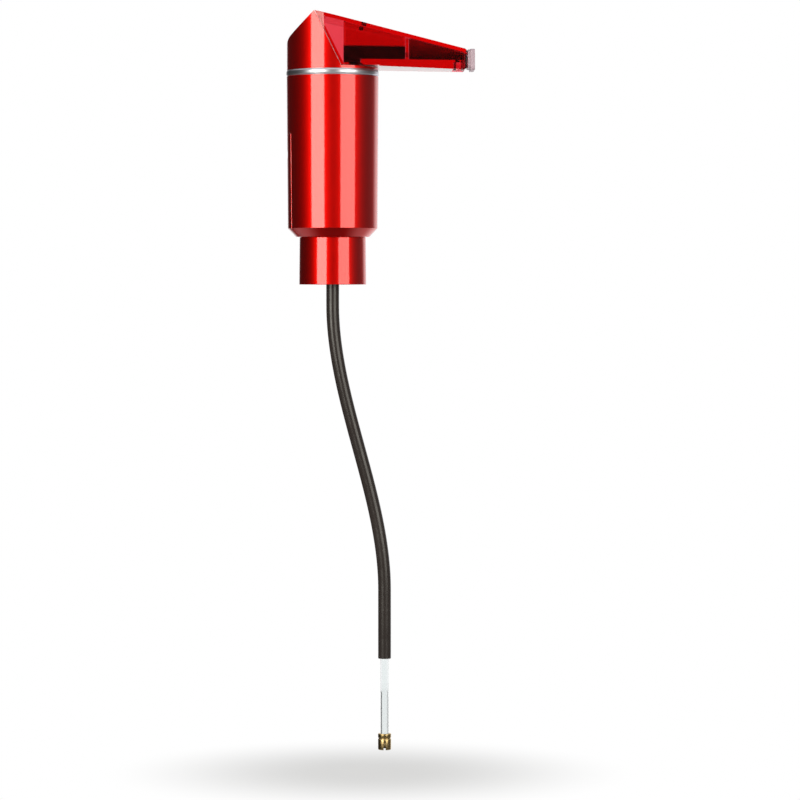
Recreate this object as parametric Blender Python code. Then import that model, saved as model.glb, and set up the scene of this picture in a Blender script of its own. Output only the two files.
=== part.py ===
"""Electric wine aerator that stands on the neck of a bottle.

An air pump in the housing presses air into the bottle, and wine climbs the dip tube, crosses
the spout, where it is aerated, and leaves by the nozzle. Run it with
blender --background --python part.py, or from the text editor. Metres, +Z up. The origin is
the centre of the bottle's mouth, on the plane that the bottle's lip touches, and +X runs
along the spout.
"""

from math import acos, atan2, cos, hypot, pi, radians, sin, sqrt, tan

import bmesh
import bpy
from mathutils import Matrix, Vector

# Fits
GAP = 0.0003                    # between pieces that touch
SLIDE_GAP = 0.0004              # round a piece that slides
OVERRUN = 0.002                 # how far a cutter runs past what it cuts

# Neck collar, which slips over the bottle's neck
COLLAR_DEPTH = 0.0238
NECK_ROOM = 0.0077              # for the bottle's wall, between the plug and the collar
COLLAR_TAPER = 0.00025          # how much wider the collar is at its bottom
COLLAR_WALL = 0.0015
COLLAR_PLATE = 0.0011
GASKET_THICKNESS = 0.0006
COLLAR_BOSS_RADIUS = 0.0024
COLLAR_BOSS_HEIGHT = 0.0015
COLLAR_SCREW_INSET = 0.0042     # from the collar's outside to its screws
COLLAR_SCREWS = 2

# Stopper plug and the tubes that pass through it
PLUG_RADIUS = 0.0090
PLUG_DEPTH = 0.0160
PLUG_RIB = 0.0004
PLUG_RIB_PITCH = 0.0040
PLUG_RIBS = 3
PLUG_CHAMFER = 0.0010
STEM_RADIUS = 0.0024
STEM_BORE = 0.0015
STEM_DEPTH = 0.0260
STEM_FLANGE_RADIUS = 0.0038
STEM_FLANGE_HEIGHT = 0.0010
VENT_X = -0.0056
VENT_RADIUS = 0.0012
VENT_BORE = 0.0006
VENT_DEPTH = 0.0190

# Body shell
LEDGE_WIDTH = 0.0019            # the step from the collar out to the body's foot
CHAMFER_HEIGHT = 0.0047
BODY_LOW_RADIUS = 0.02465
BODY_TAPER = 0.0006             # how much wider the body is at its top
BODY_OVER_PUMP = 0.0038         # how far the body's top stands over the pump's foot
BODY_WALL = 0.0015
BODY_FLOOR = 0.0025
FLOOR_HOLE_RADIUS = 0.0076

# Battery door in the back of the body
DOOR_HALF_WIDTH = 0.01045
DOOR_FOOT_GAP = 0.0006          # between the sliding door and the collar
DOOR_TAB_HALF_WIDTH = 0.0040
DOOR_TAB_RISE = 0.0024
DOOR_TAB_THICKNESS = 0.0014
DOOR_TAB_ROOT = 0.0034
DIMPLE_HEIGHT_SHARE = 0.80
DIMPLE_HALF_WIDTH = 0.0050
DIMPLE_HALF_HEIGHT = 0.0030
DIMPLE_DEPTH = 0.0007

# Cells and their holder
CELL_RADIUS = 0.00525
CELL_LENGTH = 0.0445
CELL_NUB_RADIUS = 0.0027
CELL_NUB_HEIGHT = 0.0010
CELL_SPACE = 0.0001             # half of the space between two cells
CELL_TO_WALL = 0.0021
HOLDER_WALL = 0.0010
HOLDER_FOOT_RADIUS = 0.0016
CONTACT_THICKNESS = 0.0004
CONTACT_HALF_WIDTH = 0.0036
SPRING_HEIGHT = 0.0016
SPRING_FOOT_RADIUS = 0.0032
SPRING_TIP_RADIUS = 0.0022

# Manifold under the holder, which turns the wine and the air
MANIFOLD_HEIGHT = 0.0032
MANIFOLD_HALF_WIDTH = 0.0036
MANIFOLD_EDGE = 0.0022          # plastic round each port
WINE_CHANNEL_HEIGHT = 0.0014
AIR_CHANNEL_HEIGHT = 0.0010
AIR_PORT_Y = 0.0150

# Wine riser
RISER_RADIUS = 0.0026
RISER_BORE = 0.0016
RISER_X = 0.0112
NIPPLE_HEIGHT = 0.0036          # how far the riser stands out of the head

# Tray, motor and pump
TRAY_THICKNESS = 0.0015
CRADLE_HEIGHT = 0.0052
CRADLE_WALL = 0.0012
TRAY_BOSS_Y = 0.0085
TRAY_BOSS_RADIUS = 0.0020
TRAY_BOSS_DEPTH = 0.0080
MOTOR_TO_WALL = 0.0039
MOTOR_RADIUS = 0.0100
MOTOR_HALF_FLAT = 0.00755
MOTOR_LENGTH = 0.0250
TERMINAL_LENGTH = 0.0018
TERMINAL_WIDTH = 0.0022
TERMINAL_THICKNESS = 0.0008
TERMINAL_Y = 0.0030
SHAFT_RADIUS = 0.00075
SHAFT_IN_MOTOR = 0.0060
ECCENTRIC_RADIUS = 0.0026
ECCENTRIC_THROW = 0.0007
ECCENTRIC_THICKNESS = 0.0030
PUMP_FLOOR = 0.0015
PUMP_WALL = 0.0012
PUMP_CAVITY_HEIGHT = 0.0080
PUMP_AXIS_HEIGHT = 0.0028       # above the floor of the pump housing
YOKE_THICKNESS = 0.0020
YOKE_BAR = 0.0010
YOKE_TRAVEL = 0.0006
ROD_RADIUS = 0.0010
DIAPHRAGM_RADIUS = 0.0033
DIAPHRAGM_THICKNESS = 0.0012
COVER_THICKNESS = 0.0020
COVER_HALF_WIDTH = 0.0060
BARB_RADIUS = 0.0009
BARB_LENGTH = 0.0035

# Air hose and check valve
HOSE_RADIUS = 0.0016
VALVE_RADIUS = 0.0029
VALVE_LENGTH = 0.0100
VALVE_CONE = 0.0020
VALVE_HEIGHT_SHARE = 0.55       # of the way up the holder
HOSE_BEND_SHARES = [(0, 0.60), (0.17, 0.74), (0.70, 0.87), (1, 0.96)]   # across to the pump, and up

# Screws
SCREW_RADIUS = 0.0008
SCREW_HEAD_RADIUS = 0.0018
SCREW_HEAD_HEIGHT = 0.0012

# Chrome ring
RING_HEIGHT = 0.0029
RING_PROUD = 0.0001
RING_EDGE = 0.0003
SPIGOT_DEPTH = 0.0035
SPIGOT_WALL = 0.0013

# Head
HEAD_SET_IN = 0.00015           # from the body's top radius
HEAD_WALL = 0.0016
HEAD_LIP = 0.00145              # thickness of the plate under the spout
HEAD_HEIGHT = 0.0313
APEX_SHARE = 0.40               # of the head's radius, behind its middle
CUT_FOOT_SHARE = 0.18           # of the head's radius, where the slanted front meets the plate
BACK_ANGLE = radians(45)
BACK_FILLET = 0.0080
SKIRT_WALL = 0.0012
SKIRT_DEPTH = 0.0050

# Button and switch on the back slope, measured in from the slope's outer face
BUTTON_SLOPE_SHARE = 0.45       # of the way from the apex down to the head's back
BUTTON_HALF_STRAIGHT = 0.0045
BUTTON_RADIUS = 0.0050
BUTTON_THICKNESS = 0.0024
BUTTON_FLANGE = 0.0008
BUTTON_FLANGE_WIDTH = 0.0008
BEZEL_WIDTH = 0.0010
BEZEL_PROUD = 0.0002
BUTTON_TRAVEL = 0.0010
PLUNGER_RADIUS = 0.0015
PLUNGER_LENGTH = 0.0030
SWITCH_HALF_WIDTH = 0.0030
SWITCH_HEIGHT = 0.0030
SWITCH_BASE = 0.0006
BOARD_THICKNESS = 0.0012
BOARD_HALF_WIDTH = 0.0152
BOARD_BELOW = 0.0060
BOARD_ABOVE = 0.0025
BOARD_SCREW_BITE = 0.0018
POST_RADIUS = 0.0018
POST_Y = 0.0134
POST_DOWN = 0.0030

# Spout
SPOUT_REACH = 0.0736
SPOUT_TIP_HALF_WIDTH = 0.0125
SPOUT_TIP_CORNER = 0.0030
SPOUT_LEAST_CORNER = 0.0004     # of the outlines inside the spout
SPOUT_TIP_TOP = 0.0100          # height of the roof's end above the plate
SPOUT_TIP_DROP = 0.0016         # how far the tip hangs below the plate
SPOUT_STEP = 0.0002             # the skirt's start below the plate
SPOUT_NOSE_FILLET = 0.0020
SPOUT_NOSE_CHAMFER = 0.0015
SPOUT_WALL = 0.0014
SPOUT_ROOF = 0.0020
BASE_START_X = 0.0153
BASE_SETBACK = 0.0078           # from the spout's reach to the base's step
BASE_TOP = 0.0035               # above the plate
BASE_THIN = 0.0012
BASE_FILLET = 0.0012
CHANNEL_WALL = 0.0010
CHANNEL_ROOF_GAP = 0.0005
BAFFLE_SHARE = 0.55             # of the spout's reach
BAFFLE_THICKNESS = 0.0014
BAFFLE_TOP = 0.0148             # above the plate
BAFFLE_HOLE = 0.0010
BAFFLE_HOLES = 5
NOZZLE_SETBACK = 0.0045         # from the spout's reach
NOZZLE_RADIUS = 0.0029
NOZZLE_BORE = 0.0020
NOZZLE_SPIGOT = 0.0025
GROMMET_X = 0.0156
GROMMET_RADIUS = 0.0011
GROMMET_BORE = 0.0005
GROMMET_HANG = 0.0010
SEAL_WIDTH = 0.0008
END_CAP_NECK = 0.0014
END_CAP_THICKNESS = 0.0025
END_CAP_TOP = 0.0099            # above the plate
END_CAP_BOTTOM = -0.0017
END_CAP_HALF_WIDTH = 0.0111
END_CAP_CORNER = 0.0022
END_CAP_STEP = 0.0010

# Dip tube: its centre line runs straight down, leans towards +X, and ends upright
DIP_RADIUS = 0.00355
DIP_BORE = 0.0027
DIP_LEAN_START = 0.0350         # depths below the origin
DIP_LEAN_END = 0.1920
DIP_LEAN = 0.0285               # how far it moves to +X
DIP_OUTER_END = 0.2300
INNER_RADIUS = 0.0023
INNER_BORE = 0.0015
INNER_START = 0.2050
INNER_END = 0.2760
FOOT_RADIUS = 0.0036
FOOT_HEIGHT = 0.0090
FOOT_SLOT = 0.0012

# Leads
LEAD_RADIUS = 0.0006
LEAD_HOLE_SETBACK = 0.0022      # from the front of the cell holder
LEAD_HOLE_PLACES_Y = (-0.0045, -0.0075)

# How round the pieces are
ROUND = 48
MEDIUM = 28
SMALL = 14
TINY = 8
DIP_STEPS = 16
HOSE_STEPS = 4
LEAD_STEPS = 2
REFINEMENTS = 8                 # rounds that bring two slanted faces to their shared edge

# Sizes of the collar that follow from the stopper
COLLAR_TOP_RADIUS = PLUG_RADIUS + NECK_ROOM + COLLAR_WALL
COLLAR_BOTTOM_RADIUS = COLLAR_TOP_RADIUS + COLLAR_TAPER
COLLAR_SCREW_CIRCLE = COLLAR_TOP_RADIUS - COLLAR_SCREW_INSET

# Heights that follow from the sizes above
COLLAR_TOP = GASKET_THICKNESS + GAP + COLLAR_PLATE
BODY_BOTTOM = COLLAR_TOP + GAP
BODY_FOOT_RADIUS = COLLAR_TOP_RADIUS + LEDGE_WIDTH
CHAMFER_TOP = BODY_BOTTOM + CHAMFER_HEIGHT
FLOOR_TOP = BODY_BOTTOM + BODY_FLOOR
MANIFOLD_BOTTOM = FLOOR_TOP + GAP
MANIFOLD_TOP = MANIFOLD_BOTTOM + MANIFOLD_HEIGHT
HOLDER_BOTTOM = MANIFOLD_TOP + GAP
CELL_ROOM = CELL_LENGTH + SPRING_HEIGHT + GAP + GAP + GAP
LOWER_CONTACT = HOLDER_BOTTOM + HOLDER_WALL + GAP
CELL_FLOOR = LOWER_CONTACT + CONTACT_THICKNESS
UPPER_CONTACT = CELL_FLOOR + CELL_ROOM
HOLDER_ROOF = UPPER_CONTACT + CONTACT_THICKNESS + GAP
HOLDER_TOP = HOLDER_ROOF + HOLDER_WALL
DOOR_TOP = HOLDER_TOP - GAP
TRAY_BOTTOM = HOLDER_TOP + GAP
TRAY_TOP = TRAY_BOTTOM + TRAY_THICKNESS
MOTOR_BOTTOM = TRAY_TOP + GAP
MOTOR_TOP = MOTOR_BOTTOM + MOTOR_LENGTH
PUMP_BOTTOM = MOTOR_TOP + GAP
PUMP_AXIS_Z = PUMP_BOTTOM + PUMP_FLOOR + PUMP_AXIS_HEIGHT
PUMP_TOP = PUMP_BOTTOM + PUMP_FLOOR + PUMP_CAVITY_HEIGHT
BODY_TOP = PUMP_BOTTOM + BODY_OVER_PUMP
RING_BOTTOM = BODY_TOP + GAP
RING_TOP = RING_BOTTOM + RING_HEIGHT
HEAD_BOTTOM = RING_TOP + GAP
PLATE_TOP = HEAD_BOTTOM + HEAD_LIP
APEX_Z = HEAD_BOTTOM + HEAD_HEIGHT
SPOUT_BOTTOM = PLATE_TOP + GAP

# Plan places that follow from the sizes above
BODY_TOP_RADIUS = BODY_LOW_RADIUS + BODY_TAPER
HEAD_RADIUS = BODY_TOP_RADIUS - HEAD_SET_IN
CELL_Y = CELL_RADIUS + CELL_SPACE
CELL_REACH = BODY_LOW_RADIUS - BODY_WALL - CELL_TO_WALL - CELL_RADIUS
CELL_BACK_X = -sqrt(CELL_REACH ** 2 - CELL_Y ** 2)
CELL_FRONT_X = CELL_BACK_X + 2 * CELL_Y
HOLDER_HALF_INSIDE = CELL_Y + CELL_RADIUS + GAP
HOLDER_HALF_WIDTH = HOLDER_HALF_INSIDE + HOLDER_WALL
HOLDER_FRONT_INSIDE = CELL_FRONT_X + CELL_RADIUS + GAP
HOLDER_FRONT = HOLDER_FRONT_INSIDE + HOLDER_WALL
TRAY_BOSS_X = HOLDER_FRONT + TRAY_BOSS_RADIUS / 2
LEAD_HOLE_X = HOLDER_FRONT - LEAD_HOLE_SETBACK
MOTOR_REACH = BODY_LOW_RADIUS - BODY_WALL - MOTOR_TO_WALL
MOTOR_CORNER_Y = sqrt(MOTOR_RADIUS ** 2 - MOTOR_HALF_FLAT ** 2)
MOTOR_X = MOTOR_HALF_FLAT - sqrt(MOTOR_REACH ** 2 - MOTOR_CORNER_Y ** 2)
SLOT_HALF_X = ECCENTRIC_RADIUS + ECCENTRIC_THROW + YOKE_TRAVEL + GAP
SLOT_HALF_Y = ECCENTRIC_RADIUS + ECCENTRIC_THROW + GAP
YOKE_HALF_X = SLOT_HALF_X + YOKE_BAR
YOKE_HALF_Y = SLOT_HALF_Y + YOKE_BAR
CAVITY_HALF_X = YOKE_HALF_X + YOKE_TRAVEL + GAP
CAVITY_HALF_Y = YOKE_HALF_Y + GAP
CHAMBER_BACK = MOTOR_X + CAVITY_HALF_X + PUMP_WALL
DIAPHRAGM_BACK = CHAMBER_BACK + GAP + YOKE_TRAVEL
CHAMBER_FRONT = DIAPHRAGM_BACK + DIAPHRAGM_THICKNESS + YOKE_TRAVEL + GAP
APEX_X = -HEAD_RADIUS * APEX_SHARE
CUT_FOOT_X = HEAD_RADIUS * CUT_FOOT_SHARE
CUT_LEAN = (CUT_FOOT_X - APEX_X) / (APEX_Z - PLATE_TOP)
CUT_LENGTH_SHARE = sqrt(1 + CUT_LEAN * CUT_LEAN)
BASE_END_X = SPOUT_REACH - BASE_SETBACK
NOZZLE_X = SPOUT_REACH - NOZZLE_SETBACK
BAFFLE_X = SPOUT_REACH * BAFFLE_SHARE
SLOPE_DOWN = Vector((-cos(BACK_ANGLE), 0, -sin(BACK_ANGLE)))
BUTTON_DOWN_SLOPE = (HEAD_RADIUS + APEX_X) / cos(BACK_ANGLE) * BUTTON_SLOPE_SHARE
BUTTON_PLACE = Vector((APEX_X, 0, APEX_Z)) + SLOPE_DOWN * BUTTON_DOWN_SLOPE
BUTTON_SIDE = BUTTON_RADIUS + BUTTON_FLANGE_WIDTH
BOARD_TOP = -(BUTTON_THICKNESS + BUTTON_FLANGE + GAP + PLUNGER_LENGTH + GAP + SWITCH_BASE + GAP)


# Tools for making meshes

def finish_mesh(name, bm, sharp_angle=radians(35)):
    """Turns a bmesh into an object, with its faces pointing out."""
    bmesh.ops.recalc_face_normals(bm, faces=bm.faces)
    mesh = bpy.data.meshes.new(name)
    bm.to_mesh(mesh)
    bm.free()
    mesh.shade_smooth()
    mesh.set_sharp_from_angle(angle=sharp_angle)
    thing = bpy.data.objects.new(name, mesh)
    bpy.context.scene.collection.objects.link(thing)
    return thing


def turned(name, profile, segments=MEDIUM, place=(0, 0), solid=False):
    """Spins (radius, height) points round an upright axis at place. A solid starts and ends on it."""
    bm = bmesh.new()
    verts = [bm.verts.new((r, 0, z)) for r, z in profile]
    pairs = list(zip(verts, verts[1:]))
    if not solid:
        pairs.append((verts[-1], verts[0]))
    edges = [bm.edges.new(pair) for pair in pairs]
    bmesh.ops.spin(bm, geom=verts + edges, axis=(0, 0, 1), cent=(0, 0, 0), steps=segments,
                   angle=2 * pi, use_merge=True)
    bmesh.ops.remove_doubles(bm, verts=bm.verts, dist=GAP / 100)
    bmesh.ops.translate(bm, verts=bm.verts, vec=(place[0], place[1], 0))
    return finish_mesh(name, bm)


def rod(name, radius, low, high, place=(0, 0), segments=SMALL):
    """An upright round bar."""
    return turned(name, [(0, low), (radius, low), (radius, high), (0, high)], segments, place, True)


def pipe(name, radius, bore, low, high, place=(0, 0), segments=MEDIUM):
    """An upright tube."""
    profile = [(bore, low), (radius, low), (radius, high), (bore, high)]
    return turned(name, profile, segments, place)


def prism(name, outline, low, high, upright="Z"):
    """Extrudes an outline along Z, along Y from (x, z) points, or along X from (y, z) points."""
    turn = {"Z": lambda a, b, c: (a, b, c), "Y": lambda a, b, c: (a, c, b),
            "X": lambda a, b, c: (c, a, b)}[upright]
    bm = bmesh.new()
    face = bm.faces.new([bm.verts.new(turn(a, b, low)) for a, b in outline])
    grown = bmesh.ops.extrude_face_region(bm, geom=[face])
    top = [item for item in grown["geom"] if isinstance(item, bmesh.types.BMVert)]
    bmesh.ops.translate(bm, verts=top, vec=turn(0, 0, high - low))
    return finish_mesh(name, bm)


def block(name, x_range, y_range, z_range):
    """A box between two values on each axis."""
    (x0, x1), (y0, y1) = x_range, y_range
    return prism(name, [(x0, y0), (x1, y0), (x1, y1), (x0, y1)], *z_range)


def arc(centre, radius, start, end, steps):
    """Points on an arc, its ends included."""
    angles = [start + (end - start) * i / steps for i in range(steps + 1)]
    return [(centre[0] + radius * cos(a), centre[1] + radius * sin(a)) for a in angles]


def swept(name, points, radius, bore=0, sides=SMALL):
    """A tube whose centre line runs in the XZ plane, open at both ends where it has a bore."""
    bm = bmesh.new()
    spots = [Vector(point) for point in points]
    layers = []
    for size in ([radius, bore] if bore else [radius]):
        rings = []
        for i, spot in enumerate(spots):
            ahead = (spots[min(i + 1, len(spots) - 1)] - spots[max(i - 1, 0)]).normalized()
            across = Vector((0, 1, 0))
            third = ahead.cross(across)
            turns = [2 * pi * k / sides for k in range(sides)]
            rings.append([bm.verts.new(spot + (across * cos(t) + third * sin(t)) * size)
                          for t in turns])
        for low, high in zip(rings, rings[1:]):
            for k in range(sides):
                n = (k + 1) % sides
                bm.faces.new([low[k], low[n], high[n], high[k]])
        layers.append(rings)
    for end in (0, -1):
        if bore:
            outer, inner = layers[0][end], layers[1][end]
            for k in range(sides):
                n = (k + 1) % sides
                bm.faces.new([outer[k], outer[n], inner[n], inner[k]])
        else:
            bm.faces.new(layers[0][end])
    return finish_mesh(name, bm)


def smooth_route(points, steps):
    """A smooth curve through the points, with some steps between each two."""
    spots = [Vector(point) for point in points]
    spots = [spots[0] * 2 - spots[1]] + spots + [spots[-1] * 2 - spots[-2]]
    route = []
    for a, b, c, d in zip(spots, spots[1:], spots[2:], spots[3:]):
        for i in range(steps):
            t = i / steps
            route.append((b * 2 + (c - a) * t + (a * 2 - b * 5 + c * 4 - d) * t ** 2
                          + (b * 3 - a - c * 3 + d) * t ** 3) / 2)
    route.append(spots[-2])
    return route


def cord(name, points, radius):
    """A flexible tube along its route, from a curve with a bevel and filled caps."""
    curve = bpy.data.curves.new(name, "CURVE")
    curve.dimensions = "3D"
    curve.bevel_depth = radius
    curve.bevel_resolution = 2
    curve.use_fill_caps = True
    spline = curve.splines.new("POLY")
    spline.points.add(len(points) - 1)
    for spot, point in zip(spline.points, points):
        spot.co = (*point, 1)
    thing = bpy.data.objects.new(name, curve)
    bpy.context.scene.collection.objects.link(thing)
    return thing


def combine(thing, other, operation="DIFFERENCE"):
    """Cuts, joins or intersects a piece with another, which becomes a hidden guide."""
    step = thing.modifiers.new(operation.lower(), "BOOLEAN")
    step.operation = operation
    step.solver = "EXACT"
    step.object = other
    other.hide_render = True
    other.display_type = "WIRE"
    return thing


def put(thing, frame):
    """Carries a piece that was made round the origin by an empty."""
    thing.parent = frame
    return thing


def carry(things, place, name):
    """Gives pieces made in world places a shared parent empty at place."""
    frame = bpy.data.objects.new(name, None)
    frame.location = place
    bpy.context.scene.collection.objects.link(frame)
    for thing in things:
        thing.parent = frame
        thing.data.transform(Matrix.Translation(-Vector(place)))
    return frame


# Shapes that several pieces share

def body_radius(z):
    """The body's outer radius at a height above its chamfer."""
    share = (z - CHAMFER_TOP) / (BODY_TOP - CHAMFER_TOP)
    return BODY_LOW_RADIUS + (BODY_TOP_RADIUS - BODY_LOW_RADIUS) * share


def chamfer_radius(z):
    """The inner radius of the body where its chamfer is."""
    lean = (BODY_LOW_RADIUS - BODY_FOOT_RADIUS) / CHAMFER_HEIGHT
    corner = CHAMFER_TOP + BODY_WALL * tan(atan2(BODY_LOW_RADIUS - BODY_FOOT_RADIUS, CHAMFER_HEIGHT) / 2)
    return BODY_LOW_RADIUS - BODY_WALL - lean * (corner - z), corner


def collar_screw_places():
    """Where the collar's screws stand."""
    turns = [pi / 4 + 2 * pi * i / COLLAR_SCREWS for i in range(COLLAR_SCREWS)]
    return [(COLLAR_SCREW_CIRCLE * cos(t), COLLAR_SCREW_CIRCLE * sin(t)) for t in turns]


def motor_outline(extra):
    """A circle with two flats, grown by some clearance."""
    radius = MOTOR_RADIUS + extra
    half = MOTOR_HALF_FLAT + extra
    edge = acos(half / radius)
    right = arc((MOTOR_X, 0), radius, edge, pi - edge, TINY)
    left = arc((MOTOR_X, 0), radius, pi + edge, 2 * pi - edge, TINY)
    return right + left


def pill(half_straight, radius, steps=TINY):
    """A pill outline with its long side along Y."""
    top = arc((0, half_straight), radius, 0, pi, steps)
    return top + arc((0, -half_straight), radius, pi, 2 * pi, steps)


def cut_x(z, inset=0):
    """Where the head's slanted front face is at a height, moved into the head by inset."""
    return CUT_FOOT_X - (z - PLATE_TOP) * CUT_LEAN - inset * CUT_LENGTH_SHARE


def roof_z(x):
    """The top of the spout's roof."""
    slope = (APEX_Z - PLATE_TOP - SPOUT_TIP_TOP) / (SPOUT_REACH - APEX_X)
    return APEX_Z - slope * (x - APEX_X)


def spout_plan(inset):
    """The spout seen from above: the head's circle, drawn out to a narrow tip."""
    radius = HEAD_RADIUS - inset
    corner = max(SPOUT_TIP_CORNER - inset, SPOUT_LEAST_CORNER)
    centre = (SPOUT_REACH - inset - corner, SPOUT_TIP_HALF_WIDTH - inset - corner)
    turn = atan2(centre[1], centre[0]) + acos((radius - corner) / hypot(*centre))
    back = arc((0, 0), radius, turn, 2 * pi - turn, MEDIUM)
    near = arc((centre[0], -centre[1]), corner, -turn, 0, TINY // 2)
    return back + near + arc(centre, corner, 0, turn, TINY // 2)


def dip_route():
    """The dip tube's centre line: straight, a smooth lean, straight again."""
    lean = DIP_LEAN_END - DIP_LEAN_START
    route = [(0, 0, -PLUG_DEPTH - GAP)]
    for i in range(DIP_STEPS + 1):
        t = i / DIP_STEPS
        across = t * t * (3 - 2 * t)
        route.append((DIP_LEAN * across, 0, -DIP_LEAN_START - lean * t))
    route.append((DIP_LEAN, 0, -DIP_OUTER_END))
    return route


# Neck pieces

def make_neck_collar():
    inner_top = COLLAR_TOP_RADIUS - COLLAR_WALL
    inner_bottom = COLLAR_BOTTOM_RADIUS - COLLAR_WALL
    under = COLLAR_TOP - COLLAR_PLATE
    hole = STEM_RADIUS + GAP
    profile = [(hole, under), (inner_top, under), (inner_bottom, -COLLAR_DEPTH),
               (COLLAR_BOTTOM_RADIUS, -COLLAR_DEPTH), (COLLAR_TOP_RADIUS, COLLAR_TOP),
               (hole, COLLAR_TOP)]
    collar = turned("neck_collar", profile, ROUND)
    for i, place in enumerate(collar_screw_places()):
        low = COLLAR_TOP - COLLAR_PLATE / 2
        boss = rod(f"boss_{i}", COLLAR_BOSS_RADIUS, low, COLLAR_TOP + COLLAR_BOSS_HEIGHT, place)
        combine(collar, boss, "UNION")
        hole = rod(f"boss_hole_{i}", SCREW_RADIUS + GAP, low - COLLAR_PLATE / 4,
                   COLLAR_TOP + COLLAR_BOSS_HEIGHT + OVERRUN, place, TINY)
        combine(collar, hole)
    vent = rod("collar_vent_hole", VENT_RADIUS + GAP, -OVERRUN, COLLAR_TOP + OVERRUN, (VENT_X, 0))
    return combine(collar, vent)


def screw(name, under_head, tip, place, frame=None):
    """A screw whose head stands on under_head, with its tip below or above it."""
    turn = 1 if tip < under_head else -1
    top = under_head + SCREW_HEAD_HEIGHT * turn
    profile = [(0, tip), (SCREW_RADIUS, tip), (SCREW_RADIUS, under_head), (SCREW_HEAD_RADIUS, under_head),
               (SCREW_HEAD_RADIUS, top), (0, top)]
    thing = turned(name, profile, TINY, place, True)
    return put(thing, frame) if frame else thing


def make_collar_screws():
    for i, place in enumerate(collar_screw_places()):
        screw(f"collar_screw_{i + 1}", FLOOR_TOP + GAP, COLLAR_TOP - COLLAR_PLATE / 4, place)


def make_lip_gasket():
    outer = COLLAR_TOP_RADIUS - COLLAR_WALL - GAP
    return pipe("lip_gasket", outer, PLUG_RADIUS + PLUG_RIB + GAP, 0, GASKET_THICKNESS, segments=ROUND)


def make_stopper_plug():
    profile = [(STEM_RADIUS + GAP, -PLUG_DEPTH), (PLUG_RADIUS - PLUG_CHAMFER, -PLUG_DEPTH),
               (PLUG_RADIUS, -PLUG_DEPTH + PLUG_CHAMFER)]
    for i in range(PLUG_RIBS, 0, -1):
        middle = -PLUG_RIB_PITCH * i
        profile += [(PLUG_RADIUS, middle - PLUG_RIB), (PLUG_RADIUS + PLUG_RIB, middle),
                    (PLUG_RADIUS, middle + PLUG_RIB)]
    profile += [(PLUG_RADIUS, GASKET_THICKNESS), (STEM_RADIUS + GAP, GASKET_THICKNESS)]
    plug = turned("stopper_plug", profile, MEDIUM)
    vent = rod("plug_vent_hole", VENT_RADIUS + GAP, -PLUG_DEPTH - OVERRUN, OVERRUN, (VENT_X, 0))
    return combine(plug, vent)


def make_tube_stem():
    flange = COLLAR_TOP + GAP
    profile = [(STEM_BORE, -STEM_DEPTH), (STEM_RADIUS, -STEM_DEPTH), (STEM_RADIUS, flange),
               (STEM_FLANGE_RADIUS, flange), (STEM_FLANGE_RADIUS, flange + STEM_FLANGE_HEIGHT),
               (STEM_RADIUS, flange + STEM_FLANGE_HEIGHT), (STEM_RADIUS, FLOOR_TOP),
               (STEM_BORE, FLOOR_TOP)]
    return turned("tube_stem", profile, SMALL)


def make_air_vent_tube():
    return pipe("air_vent_tube", VENT_RADIUS, VENT_BORE, -VENT_DEPTH, FLOOR_TOP, (VENT_X, 0), TINY)


# Dip tube

def make_dip_tube_outer():
    return swept("dip_tube_outer", dip_route(), DIP_RADIUS, DIP_BORE, SMALL)


def make_dip_tube_inner():
    return pipe("dip_tube_inner", INNER_RADIUS, INNER_BORE, -INNER_END, -INNER_START,
                (DIP_LEAN, 0), SMALL)


def make_tube_foot():
    """A weighted end with two slots, so that it can stand on the bottom and still draw wine."""
    top = -INNER_END + FOOT_HEIGHT / 2
    low = -INNER_END - FOOT_HEIGHT / 2
    sleeve = INNER_RADIUS + GAP
    profile = [(INNER_BORE, low), (FOOT_RADIUS, low), (FOOT_RADIUS, top), (sleeve, top),
               (sleeve, -INNER_END - GAP), (INNER_BORE, -INNER_END - GAP)]
    foot = turned("tube_foot", profile, SMALL, (DIP_LEAN, 0))
    wide = FOOT_RADIUS + OVERRUN
    half = FOOT_SLOT / 2
    cuts = [((DIP_LEAN - wide, DIP_LEAN + wide), (-half, half)),
            ((DIP_LEAN - half, DIP_LEAN + half), (-wide, wide))]
    for i, (x_range, y_range) in enumerate(cuts):
        slot = block(f"foot_slot_{i}", x_range, y_range, (low - OVERRUN, low + FOOT_SLOT))
        combine(foot, slot)
    return foot


# Body

def door_outline(half_width, inner_radius):
    """The door's plan: two straight sides and a round inner edge, run past the outer wall."""
    far = -(BODY_TOP_RADIUS + OVERRUN)
    edge = acos(half_width / inner_radius)
    inner = arc((0, 0), inner_radius, pi / 2 + edge, 3 * pi / 2 - edge, TINY)
    return [(far, half_width)] + [(x, y) for x, y in inner] + [(far, -half_width)]


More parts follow.
